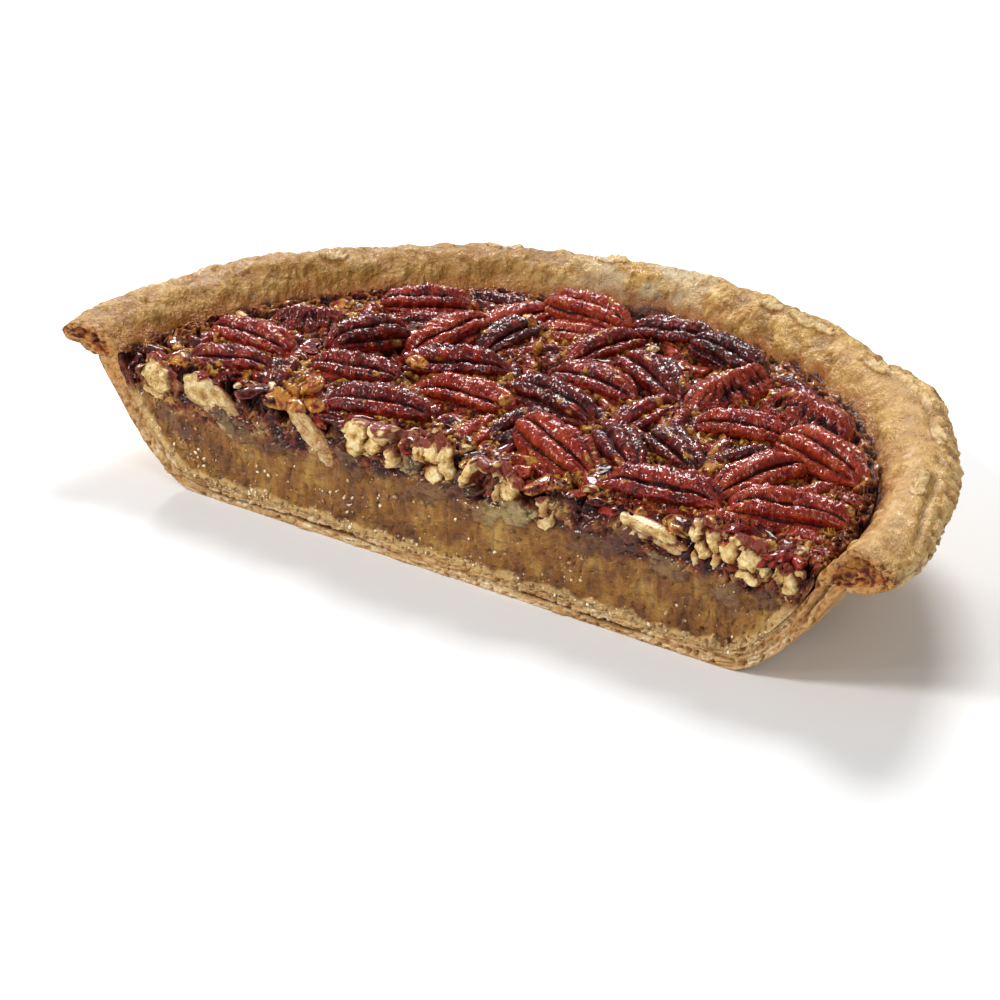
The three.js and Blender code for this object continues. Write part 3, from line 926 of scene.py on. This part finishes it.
def lie_of(node):
    """A half's middle, axes and sizes, from its solid: long, broad, thick."""
    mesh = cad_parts[node].data
    centre = np.array([p.center for p in mesh.polygons])
    area = np.array([p.area for p in mesh.polygons])[:, None]
    mean = (centre * area).sum(0) / area.sum()
    spread = ((centre - mean) * area).T @ (centre - mean)
    axes = np.linalg.eigh(spread)[1][:, ::-1].T
    if "low" in node:
        flat = np.array([axes[0][0], axes[0][1], 0])
        axes[0] = flat / np.linalg.norm(flat)
        axes[2] = (0, 0, 1)
    if axes[2][2] < 0:
        axes[2] = -axes[2]
    axes[1] = np.cross(axes[2], axes[0])
    corners = np.array([v.co for v in mesh.vertices])
    reach = corners @ axes.T
    low, high = reach.min(0), reach.max(0)
    middle = ((low + high) / 2) @ axes
    return (middle - np.array(AXIS)) * 1000, axes, (high - low) * 1000


whole_nuts = sorted(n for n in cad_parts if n.startswith("pecan_") and n != "pecan_layer")
lies = {node: lie_of(node) for node in whole_nuts}


def gap_to_nuts(x, y):
    """Millimetres to the nearest half on top, seen from above."""
    gap = np.full(np.shape(x), 9.0)
    for middle, axes, sizes in lies.values():
        u = (x - middle[0]) * axes[0][0] + (y - middle[1]) * axes[0][1]
        v = (y - middle[1]) * axes[0][0] - (x - middle[0]) * axes[0][1]
        ring = np.hypot(u / (sizes[0] / 2), v / (sizes[1] / 2))
        gap = np.minimum(gap, (ring - 1) * sizes[1] / 2)
    return gap


def froth(x, y):
    """Height of the froth above the filling's level, and its marks."""
    place = np.stack([x, y, 0 * x], -1)
    swell = waver(place, 9, 2, 31)
    gap = gap_to_nuts(x, y)
    # The syrup climbs against each nut.
    climb = np.exp(-np.maximum(gap, 0) / 1.5)
    warp = place + waver(place, 4, 1, 32)[..., None] * 1.2
    away, wall, luck = cells(warp, 2.8, 1)
    small_away, small_wall, _ = cells(warp, 1.3, 2)
    web = np.maximum(smooth_step(0.26, 0.04, wall), 0.75 * smooth_step(0.3, 0.04, small_wall))
    open_cell = smooth_step(-0.25, 0.1, luck + 0.4 * swell)
    pit = open_cell * smooth_step(0.05, 0.35, wall)
    bubble = (1 - open_cell) * smooth_step(0.6, 0.1, away) + 0.5 * smooth_step(0.5, 0.1, small_away)
    well = smooth_step(0.0, 0.3, waver(place, 5, 2, 33)) * smooth_step(0.2, 1.5, gap)
    brink = smooth_step(95, 101, np.hypot(x, y))
    grit = waver(place, 0.9, 2, 34)
    height = 1.0 + 0.8 * swell + 1.5 * climb + 0.8 * web - 1.2 * pit + 0.5 * bubble
    height += 0.25 * grit - 3.2 * well * (1 - 0.6 * brink) + 1.2 * brink
    marks = {
        "foam": np.clip(0.2 + 0.5 * web + 0.25 * bubble + 0.25 * grit - 0.3 * pit, 0, 1),
        # Near black in the holes and wells: painted shade in them.
        "hole": np.clip(0.7 * pit + well, 0, 1),
        "shine": np.clip(bubble + 0.6 * web, 0, 1),
        "brink": brink,
    }
    return height, marks


def syrup():
    finish = Finish("syrup and froth", Coat_Roughness=0.07, Specular_IOR_Level=0.12)
    finish.soak(0.1, (1, 0.35, 0.08), 0.0015)
    patch = finish.grain(9, 2, seed=13)
    bubble = finish.grain(1.1, 3, seed=14)
    foam = finish.mark("foam") * 0.75 + bubble * 0.6 - 0.15
    gold = foam.ramp(
        (0.28, "1c0401"), (0.42, "481604"), (0.55, "7a4009"), (0.68, "ac721a"), (0.86, "deb254")
    )
    red = foam.ramp((0.26, "140201"), (0.44, "3d0804"), (0.62, "6e1a08"), (0.84, "b05a1c"))
    top = finish.mix(patch.between(0.47, 0.6), gold, red)
    # Painted shade in the holes and wells.
    top = finish.over(top, (finish.mark("brink") * 0.7, red), (finish.mark("hole") * 0.92, "0e0201"))
    on_top = finish.mark("top")
    gloss = finish.mark("shine") * (1 - finish.mark("hole")) * bubble.between(0.4, 0.6)
    finish.wear(
        Base_Color=finish.mix(on_top, cut_tone(finish)[0], top),
        Coat_Weight=gloss * on_top + (1 - on_top) * 0.45,
        Roughness=0.35 + 0.35 * bubble,
    )
    finish.emboss(bubble + finish.grain(0.5, 2, seed=16) * 0.7, 0.9)
    return finish


heights = np.linspace(SEAM, FILL_TOP, LAYER_FRONT)
edge_radius = inside_radius(heights)
under = edge_radius[::-6]
section_radius = np.concatenate([edge_radius, np.full(TOP_ROWS, edge_radius[-1]), under])
section_depth = np.concatenate([0 * heights, np.linspace(0, 1, TOP_ROWS), 1 + 0 * under])
section_height = np.concatenate([heights, np.full(TOP_ROWS, FILL_TOP), heights[::-6]])
points = swept(section_radius, section_depth, section_height, FILL_COLUMNS)
front = slice(0, LAYER_FRONT)
surface = slice(LAYER_FRONT, LAYER_FRONT + TOP_ROWS)
relief, marks = cut_relief(points[:, front, 0], points[:, front, 2])
# The top surface starts where the crumbled edge leaves off.
depth = points[:, surface, 1]
points[:, surface, 1] += relief[:, -1:] * np.maximum(1 - depth / 12, 0)
height, top_marks = froth(points[:, surface, 0], points[:, surface, 1])
points[:, surface, 2] += height
climb = np.linspace(0, 1, LAYER_FRONT)[None] ** 3
points[:, front, 2] += height[:, :1] * climb
points[:, front, 1] += relief
spread = spread_marks(marks, points.shape[:2], front)
spread.update(spread_marks(top_marks, points.shape[:2], surface))
spread["top"] = np.zeros(points.shape[:2])
spread["top"][:, LAYER_FRONT - 2 :] = 1
spread["top"][:, LAYER_FRONT - 5 : LAYER_FRONT - 2] = 0.5
piece(
    "nut_layer",
    points.transpose(1, 0, 2),
    grid(points.shape[1], FILL_COLUMNS, closed=True),
    syrup(),
    "pecan_layer",
    {mark: values.T for mark, values in spread.items()},
    corner=1.3,
)

# ---------------------------------------------------------------------------------------------
# Crumbs on the froth. Toasted sugar and crumbs of nut skin that stuck to the syrup, thickest
# against the halves and thin over the holes.
# ---------------------------------------------------------------------------------------------

crumb_finish = Finish("toasted crumb", Roughness=0.4, Coat_Weight=0.8, Coat_Roughness=0.08)
crumb_tone = crumb_finish.grain(3, 2, seed=24).ramp(
    (0.36, "400c05"), (0.48, "74300c"), (0.57, "a8681a"), (0.7, "dcac50")
)
crumb_finish.wear(Base_Color=crumb_tone)
ground = points[:, surface]
litter = (1 - top_marks["hole"]) * (1 - 0.7 * top_marks["brink"])
litter *= 0.2 + smooth_step(-0.1, 0.5, waver(ground * (1, 1, 0), 7, 2, 35))
scatter(
    "froth_crumbs", ground.transpose(1, 0, 2), grid(TOP_ROWS, FILL_COLUMNS), litter.T, crumb_finish,
    "pecan_layer", 120000, (0.0002, 0.0007), 0.0009, 8,
)

# ---------------------------------------------------------------------------------------------
# The pecan halves on top. Each keeps its brown skin, with two deep grooves along its back and
# fine wrinkles across it, under a coat of syrup. Each one takes its solid's place and size.
# ---------------------------------------------------------------------------------------------

NUT_ALONG = 110
NUT_AROUND = 86


def half_nut(sizes, seed, turned):
    """A half in its own axes, x long and z up, with its marks."""
    length, width, height = sizes
    chance = np.random.default_rng(seed)
    bend, twist, taper, deep, loose = chance.uniform(-1, 1, 5)
    t = np.linspace(-math.pi / 2, math.pi / 2, NUT_ALONG)
    around = np.linspace(0, 2 * math.pi, NUT_AROUND, endpoint=False)
    x, around = np.meshgrid(np.sin(t), around, indexing="ij")
    belly = np.maximum(1 - np.abs(x) ** 2.9, 0) ** 0.5 * (1 - 0.14 * taper * x)
    crown = np.maximum(1 - np.abs(x) ** 3, 0) ** 0.5
    y = np.cos(around)
    back = np.sin(around) > 0
    rise = np.abs(np.sin(around)) ** 0.85 * np.where(back, 1, -0.3)
    across = (around - math.pi / 2) / (math.pi / 2)
    hold = smooth_step(1.0, 0.82, np.abs(x)) * back
    spot = np.stack([x * length / 2, y * width / 2, rise * height], -1) + seed * 9
    drift = 0.07 * twist * x + 0.06 * waver(np.stack([x * 1.5, 0 * x, 0 * x + seed], -1), 1, 1, 40)
    lane = across + drift
    if turned:
        keel = np.exp(-((lane / 0.14) ** 2)) * hold
        dip = np.exp(-(((np.abs(lane) - 0.4) / 0.2) ** 2)) * hold
        fan = np.arctan2(y * 0.9 + 0.9, x * 1.6 + 0.2)
        rays = np.stack([fan * 7, np.hypot(x, y) * 1.4, 0 * fan + seed], -1)
        crinkle = 1 - np.abs(waver(rays, 1, 2, 41)) * 2.4
        swell = 0.94 + 0.08 * keel - 0.12 * dip + 0.07 * crinkle * hold
        groove = np.clip(0.5 * dip + smooth_step(0.3, -0.1, crinkle) * hold * 0.5, 0, 1)
    else:
        # Three ridges side by side, each rounded like a sausage, and a fold near the table.
        at = 0.34 + 0.05 * deep
        offside = np.abs(lane)
        inner = lane / at
        outer = (offside - (at + 0.82) / 2) / ((0.82 - at) / 2)
        skirt = (offside - 0.91) / 0.09
        u = np.where(offside < at, inner, np.where(offside < 0.82, outer, skirt))
        round_top = np.sqrt(np.maximum(1 - u**2, 0))
        ridge = np.where(offside < at, 0, np.where(lane > 0, 1, 2))
        lift = np.array([0.0, 0.05 * loose, -0.05 * loose])[ridge]
        wave = np.stack([x * length / 4.5 + 0.3 * u**2, lane * 1.6 + ridge * 5, 0 * x + seed], -1)
        crinkle = waver(wave, 1, 2, 42)
        cut = 0.46 + 0.06 * deep
        swell = 1 + lift * hold - cut * (1 - round_top) * hold * (0.55 + 0.45 * (offside < 0.82))
        swell = swell + 0.075 * crinkle * hold
        groove = smooth_step(0.66, 0.95, np.abs(u)) * hold
    strands = np.stack([x * length / 7, lane * width / 2.2, 0 * x + seed * 3], -1)
    dent = 1 - np.abs(waver(strands, 1, 2, 44)) * 3
    pleats = np.stack([x * length / 1.9 + 0.6 * lane, lane * width / 5, 0 * x + seed * 5], -1)
    pleat = smooth_step(0.25, 1, 1 - np.abs(waver(pleats, 1, 2, 47)) * 2.6) * hold
    lumps = 0.12 * waver(spot, 6, 1, 43) - 0.06 * smooth_step(0.4, 1, dent) * hold - 0.06 * pleat
    swell = swell + lumps
    px = x * length / 2 * (1 + 0.1 * waver(spot, 8, 1, 46))
    py = y * belly * width / 2 * swell + 0.06 * bend * width * (x**2 - 0.4)
    pz = rise * crown * height * swell * 0.92 - 0.05 * height * x**2 - height * 0.38
    points = np.stack([px, py, pz], -1)
    marks = {
        # The grooves are near black: partly dark syrup in them, partly painted shade.
        "groove": np.clip(groove, 0, 1),
        "ridge": np.clip(0.5 + 1.0 * crinkle + 2 * lumps, 0, 1) * back,
        "tint": np.full(x.shape, chance.uniform()),
        "bare": smooth_step(0.36 if turned else 0.54, 0.7, waver(spot, 4, 2, 45)) * hold,
        # The dents and pleats carry painted shade.
        "wrinkle": np.maximum(smooth_step(0.55, 0.95, dent) * hold, 0.7 * pleat),
        "run": x * length / 2 + seed * 40,
        "over": lane * width / 2,
    }
    return points, marks


def nut_skin():
    finish = Finish("pecan skin", Coat_Roughness=0.08, Specular_IOR_Level=0.12)
    finish.soak(0.06, (1, 0.2, 0.1), 0.0015)
    tint = finish.mark("tint")
    patch = finish.grain(5, 3, seed=17)
    vein = finish.grain(0.9, 3, seed=18)
    groove, wrinkle = finish.mark("groove"), finish.mark("wrinkle")
    # Fine wrinkles run along each half and a little across it.
    run, over = finish.mark("run"), finish.mark("over")
    along = finish.node("CombineXYZ", {}, {0: run * 0.35, 1: over, 2: tint * 9})
    crossed = finish.node("CombineXYZ", {}, {0: run * 1.3, 1: over * 0.5, 2: tint * 9 + 40})
    strand = finish.node("TexNoise", {}, {"Vector": along, "Scale": 1.3, "Detail": 3})
    crimp = finish.node("TexNoise", {}, {"Vector": crossed, "Scale": 1, "Detail": 2})
    tone = (patch * 0.45 + strand * 0.5 + tint * 0.24 - 0.09).ramp(
        (0.3, "260302"), (0.43, "580905"), (0.56, "931d0d"), (0.72, "b8481c")
    )
    tone = finish.over(
        tone,
        (finish.mark("ridge").between(0.6, 1) * 0.35, "9c3514"),
        (finish.mark("bare") * 0.85, "c58a34"),
        # Painted shade in the wrinkles.
        (wrinkle * 0.5, "300604"),
        # Near black in the grooves: dark syrup and painted shade.
        (groove.between(0.15, 0.85) * 0.92, "150201"),
    )
    gloss = (1 - groove) * (1 - wrinkle * 0.6) * (0.25 + 1.3 * patch)
    finish.wear(Base_Color=tone, Coat_Weight=gloss, Roughness=0.35 + 0.3 * vein)
    finish.emboss(strand * 0.8 + crimp * 1.1 + finish.grain(2, 2, seed=19) * 0.4 + vein * 0.3, 1.0)
    return finish


def ring_faces(along, around):
    """Faces of a closed shape stored as rings, one after another."""
    faces = grid(along, around + 1)
    return faces // (around + 1) * around + faces % (around + 1) % around


# Each skin stands a little proud of its solid. A low half is solid only above the syrup, so its
# skin is given a thickness and reaches down into it.
PROUD = (1.04, 1.14, 1.06)
LOW_PROUD = (1.24, 1.34, 0)
LOW_THICKNESS = 7.2
LOW_DROP = 0.7
skin_finish = nut_skin()
nut_faces = ring_faces(NUT_ALONG, NUT_AROUND)
for number, node in enumerate(whole_nuts):
    middle, axes, sizes = lies[node]
    if "low" in node:
        sizes = sizes * LOW_PROUD + (0, 0, LOW_THICKNESS)
        middle = middle - (0, 0, LOW_DROP)
    else:
        sizes = sizes * PROUD
    nut, marks = half_nut(sizes, number + 1, "turned" in node)
    points = nut @ axes + middle
    piece(node.replace("pecan", "half"), points, nut_faces, skin_finish, node, marks)

# ---------------------------------------------------------------------------------------------
# Broken bits of nut between the halves. They float in the syrup with the skin still on, and a
# few show their pale flesh. Each is a chipped lump that fills a gap between the halves.
# ---------------------------------------------------------------------------------------------


def lump(sizes, seed, rings, chips):
    """A lump with chipped sides in its own axes, and how folded and how raised it is."""
    along, around = rings
    t = np.linspace(-math.pi / 2, math.pi / 2, along)
    turn = np.linspace(0, 2 * math.pi, around, endpoint=False)
    t, turn = np.meshgrid(t, turn, indexing="ij")
    ball = np.stack([np.sin(t), np.cos(t) * np.cos(turn), np.cos(t) * np.sin(turn)], -1)
    knob = waver(ball * 1.2 + seed, 1, 2, 51)
    fold = 1 - np.abs(waver(ball * 1.5 + seed, 1, 1, 53)) * 2
    crease = smooth_step(0.7, 1, fold)
    ball = ball * (1.05 + 0.32 * knob - 0.22 * crease)[..., None]
    chance = np.random.default_rng(int(seed * 10) + 7)
    for facing in chance.normal(size=(chips, 3)):
        facing = facing / np.linalg.norm(facing)
        over = np.maximum(ball @ facing - chance.uniform(0.6, 0.85), 0)
        ball = ball - 0.85 * over[..., None] * facing
    shape = ball * sizes
    return shape + ball * 0.2 * waver(shape + seed * 3, 1.8, 2, 52)[..., None], crease, knob


def tilted(points, angle):
    """Points turned about the axis that runs into the pie."""
    c, s = math.cos(angle), math.sin(angle)
    x, y, z = points[..., 0], points[..., 1], points[..., 2]
    return np.stack([x * c - z * s, y, x * s + z * c], -1)


BIT_RINGS = (22, 20)
BIT_REACH = 100
BIT_SPACING = 3.9
PALE_SHARE = 0.04
chance = np.random.default_rng(5)
bits = {"skin": [], "flesh": [], "golden": []}
spots = []
for x, y in chance.uniform((-BIT_REACH, 3), (BIT_REACH, BIT_REACH), (6000, 2)):
    if math.hypot(x, y) > BIT_REACH or gap_to_nuts(x, y) < 0.4:
        continue
    if any(math.hypot(x - a, y - b) < BIT_SPACING for a, b in spots):
        continue
    spots.append((x, y))
    pale = chance.uniform() < PALE_SHARE
    size = chance.uniform(0.9, 1.5) if pale else chance.uniform(1.6, 3.1)
    sizes = np.array([size * chance.uniform(1.2, 2.4), size, size * chance.uniform(0.5, 0.8)])
    shape, crease, knob = lump(sizes, len(spots) * 1.7, BIT_RINGS, 5)
    turn, lean = chance.uniform(0, math.pi), chance.uniform(-0.4, 0.4)
    c, s = math.cos(turn), math.sin(turn)
    shape = tilted(shape, lean) @ np.array([[c, s, 0], [-s, c, 0], [0, 0, 1]])
    rest = FILL_TOP + chance.uniform(0.2, 1.8) + (1.2 if pale else 0)
    # A bit's creases and low parts carry painted shade, as a half's grooves and wrinkles do.
    marks = {"groove": crease, "fold": crease, "ridge": np.clip(0.5 + knob, 0, 1)}
    marks["wrinkle"] = smooth_step(0.1, -0.4, knob)
    marks["run"], marks["over"] = shape[..., 0] + 50 * len(spots), shape[..., 1]
    marks["tint"] = np.full(crease.shape, chance.uniform())
    marks["bare"] = (chance.uniform() < 0.4) * smooth_step(-0.1, 0.35, knob)
    marks["grey"] = np.full(crease.shape, 0.0)
    marks["toast"] = smooth_step(0.3, 0.9, crease)
    marks["skin"] = smooth_step(0.0, 0.4, knob)
    bits["flesh" if pale else "skin"].append((shape + (x, y, rest), marks))

# Golden bits, on the froth or stuck to a half: some in a heap by the cut, the rest strewn about.
HEAP_PLACE = (-49, 5)
HEAP_COUNT = 5
GOLDEN_COUNT = 18
GOLDEN_REACH = 94
GOLDEN_SPACING = 12
# Height of a bit that lies on a half.
ON_A_HALF = 34.5
strewing = np.random.default_rng(27)
golden = []
for turn in np.linspace(0, 2 * math.pi, HEAP_COUNT, endpoint=False):
    golden.append((HEAP_PLACE[0] + 4 * math.cos(turn), HEAP_PLACE[1] + 3 * math.sin(turn), 2.6))
while len(golden) < GOLDEN_COUNT:
    x, y = strewing.uniform((-90, 4), (90, GOLDEN_REACH))
    apart = all(math.hypot(x - a, y - b) > GOLDEN_SPACING for a, b, _ in golden)
    if math.hypot(x, y) < GOLDEN_REACH and apart:
        golden.append((x, y, strewing.uniform(1.5, 2.6)))
for number, (x, y, size) in enumerate(golden):
    shape, crease, knob = lump(np.array([size * 1.4, size, size * 0.7]), number * 2.3 + 50, BIT_RINGS, 6)
    rest = ON_A_HALF if gap_to_nuts(x, y) < -1 else FILL_TOP + 1 + size * 0.4
    # Fainter painted shade in the creases and low parts than on the other bits.
    marks = {"groove": 0.35 * crease, "ridge": np.clip(0.5 + knob, 0, 1)}
    marks["wrinkle"] = 0.5 * smooth_step(0.0, -0.4, knob)
    marks["run"], marks["over"] = shape[..., 0] - 50 * number, shape[..., 1]
    marks["tint"] = np.full(crease.shape, 0.9)
    marks["bare"] = smooth_step(-0.35, 0.05, knob)
    bits["golden"].append((tilted(shape, number * 0.7) + (x, y, rest), marks))


def gathered(name, shapes, rings, finish, node, wanted):
    """One piece from many closed shapes of the same number of rings."""
    single = ring_faces(*rings)
    step = rings[0] * rings[1]
    points = np.concatenate([p.reshape(-1, 3) for p, _ in shapes])
    faces = np.concatenate([single + k * step for k in range(len(shapes))])
    marks = {m: np.concatenate([marks[m].reshape(-1) for _, marks in shapes]) for m in wanted}
    piece(name, points, faces, finish, node, marks)


def nut_flesh():
    finish = Finish(
        "pecan flesh", Coat_Weight=0.35, Coat_Roughness=0.16, Specular_IOR_Level=0.2
    )
    finish.soak(0.12, (1, 0.7, 0.4), 0.001)
    patch = finish.grain(2.4, 2, seed=20)
    speck = finish.grain(0.6, 2, seed=21)
    tone = (patch * 0.7 + speck * 0.4 - 0.05).ramp(
        (0.3, "94682c"), (0.42, "c39c58"), (0.54, "e0c485"), (0.7, "f5e6b8")
    )
    tone = finish.over(
        tone,
        (finish.mark("toast") * 0.65, "a8642a"),
        (finish.mark("fold").between(0.35, 0.9) * 0.9, "561608"),
        (finish.mark("skin") * 0.95, "741a06"),
        (finish.mark("grey") * 0.85, "6b5138"),
    )
    finish.wear(Base_Color=tone, Roughness=0.3 + 0.3 * patch)
    finish.emboss(patch * 0.4 + speck * 0.6, 0.4)
    return finish


flesh_finish = nut_flesh()
SKIN_MARKS = ("groove", "ridge", "tint", "bare", "wrinkle", "run", "over")
for name, kind in (("nut_bits", "skin"), ("golden_bits", "golden")):
    gathered(name, bits[kind], BIT_RINGS, skin_finish, "pecan_layer", SKIN_MARKS)
FLESH_MARKS = ("fold", "toast", "skin", "grey")
gathered(
    "nut_chips", bits["flesh"], BIT_RINGS, flesh_finish, "pecan_layer", FLESH_MARKS
)

# ---------------------------------------------------------------------------------------------
# The halves that the knife went through. Cream flesh, broken into facets, with brown skin in the
# folds between them. Each is one broken face with a dome of skin behind it.
# ---------------------------------------------------------------------------------------------

# How each broken face looks: stretch of its size, lean in degrees, size of its facets, how tall
# they are, how round, how grey it is, and how far it is streaked along.
CUT_LOOKS = [
    (1.2, 1.2, 62, 5, 1.6, 0.4, 0.1, 0.2), (1.5, 1.35, -30, 15, 1, 0.2, 0.25, 1),
    (1.35, 0.8, -42, 14, 1, 0.2, 0, 1), (1.65, 1.35, 0, 4.4, 2, 0.2, 0, 0),
    (1.35, 1.2, 15, 4.6, 1.4, 0.3, 0, 0), (1.45, 1.25, -10, 4, 2, 0.2, 0, 0),
    (1.1, 1.2, 0, 6, 1.6, 0.3, 0.2, 0), (1, 1, 0, 9, 1, 0.3, 1, 0.6),
    (1.25, 0.95, -10, 12, 0.8, 0.4, 0, 0.8), (1.3, 1.15, 0, 5, 1.1, 0.8, 0, 0),
    (1.2, 1.15, 0, 5, 1, 0.8, 0, 0), (1.2, 1.2, 0, 4.4, 1.2, 0.7, 0.15, 0),
]
FACE_RINGS = (76, 110)
# How many of the rings make the dome of skin behind a broken face.
DOME_RINGS = 16


def facets(place, size, seed):
    """The facet that each point of a broken face lies on: gap to the next, level and slope."""
    shift = np.array([7.1, 2.3, 5.9]) * (seed + 1)
    found = []
    for p in (place / size + shift).reshape(-1, 3):
        away, centres = noise.voronoi(Vector(p))
        middle = centres[0]
        lean = noise.noise_vector(middle * 3.1)
        off = Vector(p) - middle
        slope = off.x * lean.x + off.z * lean.z
        found.append((away[1] - away[0], noise.noise(middle * 5.3), slope))
    return np.moveaxis(np.array(found).reshape(*place.shape[:-1], 3), -1, 0)


def broken_face(wide, tall, size, upright, roundness, streaked, seed):
    """A broken face of facets with skin in the folds between them, and the dome behind it."""
    ahead = FACE_RINGS[0] - DOME_RINGS
    out = np.concatenate([np.linspace(0, 1, ahead), np.linspace(0.97, 0, DOME_RINGS)])
    behind = (np.arange(FACE_RINGS[0]) >= ahead)[:, None]
    turn = np.linspace(0, 2 * math.pi, FACE_RINGS[1], endpoint=False)
    out, turn = np.meshgrid(out, turn, indexing="ij")
    circle = np.stack([np.cos(turn), 0 * turn, np.sin(turn)], -1)
    boxy = (np.abs(np.cos(turn)) ** 2.5 + np.abs(np.sin(turn)) ** 2.5) ** -0.4
    ragged = 0.34 - 0.2 * streaked
    rim = boxy * (1 + ragged * waver(circle + seed, 0.6, 3, 55)) * out
    place = np.stack([np.cos(turn) * rim * wide / 2, 0 * turn, np.sin(turn) * rim * tall / 2], -1)
    warp = place + 1.1 * waver(place + seed, 2.4, 3, 56)[..., None] * (1, 0, -0.6)
    gap, level, slope = facets(warp / (1 + streaked, 1, upright), size, seed)
    # Only some of the folds are open.
    parted = smooth_step(-0.15, 0.25, waver(place + seed, 3.5, 1, 60))
    crack = smooth_step(0.08 + 0.22 * parted, 0.02, gap) * (0.3 + 0.7 * parted)
    near_rim = smooth_step(0.55, 1, out)
    streak = waver((place + seed) / (5, 1, 0.9), 1, 2, 57) * streaked
    front = (3.2 * level + 3.0 * slope) * (1 - 0.85 * streaked)
    front += 1.5 * crack * (1 - 0.7 * streaked)
    front += 0.3 * streak
    front += roundness * 0.9 * smooth_step(0.5, 0, gap) + 0.5 * waver(place + seed, 1.6, 3, 58)
    front += 1.6 * smooth_step(0.86, 1, out) ** 2 + 0.5 * near_rim
    dome = 2.6 + 2.2 * np.sqrt(np.maximum(1 - out**2, 0)) - 0.6 * near_rim
    place[..., 1] = np.where(behind, dome, np.minimum(front, 2.2))
    place *= (1 - 0.14 * near_rim * crack)[..., None] ** np.array([1, 0, 1])
    bare = np.maximum(crack * (1 - 0.4 * streaked), smooth_step(0.25, 0.5, streak) * 0.6)
    skin = smooth_step(1.5, 2.1, place[..., 1] + 0.5 * waver(place + seed, 1.4, 2, 59))
    skin = np.maximum(skin, smooth_step(0.2, 0.26, level) * (1 - 0.6 * streaked))
    # Most keep a cap of skin along the top.
    cap = place[..., 2] / tall + 0.35 * waver(place + seed, 3, 2, 63)
    skin = np.maximum(skin, smooth_step(0.34, 0.4, cap) * (1 - streaked))
    toast = smooth_step(0.34, 0.06, gap) * (0.3 + 0.7 * parted) * (1 - 0.5 * streaked)
    marks = {"fold": np.clip(bare, 0, 1), "toast": toast, "skin": np.where(behind, 1, skin)}
    return place, marks


cut_nodes = sorted(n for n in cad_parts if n.startswith("cut_pecan"))
for number, (node, look) in enumerate(zip(cut_nodes, CUT_LOOKS)):
    across, up, lean, size, upright, roundness, grey, streaked = look
    low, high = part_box(node)
    low, high = (np.array(low - AXIS) * 1000, np.array(high - AXIS) * 1000)
    middle = (low + high) / 2 * (1, 0, 1)
    wide, tall = (high[0] - low[0]) * across, (high[2] - low[2]) * up
    shape, marks = broken_face(wide, tall, size, upright, roundness, streaked, number)
    # A pale half is bent along its length, as a pecan is.
    shape[..., 2] += streaked * 1.2 * (1 - (2 * shape[..., 0] / wide) ** 2)
    marks["grey"] = np.full(marks["fold"].shape, grey)
    points = tilted(shape, math.radians(lean)) + middle + (0, -0.5 + grey, 0)
    name = node.replace("cut_pecan", "cut_half")
    shapes = [(points, marks)]
    gathered(name, shapes, FACE_RINGS, flesh_finish, node, FLESH_MARKS)
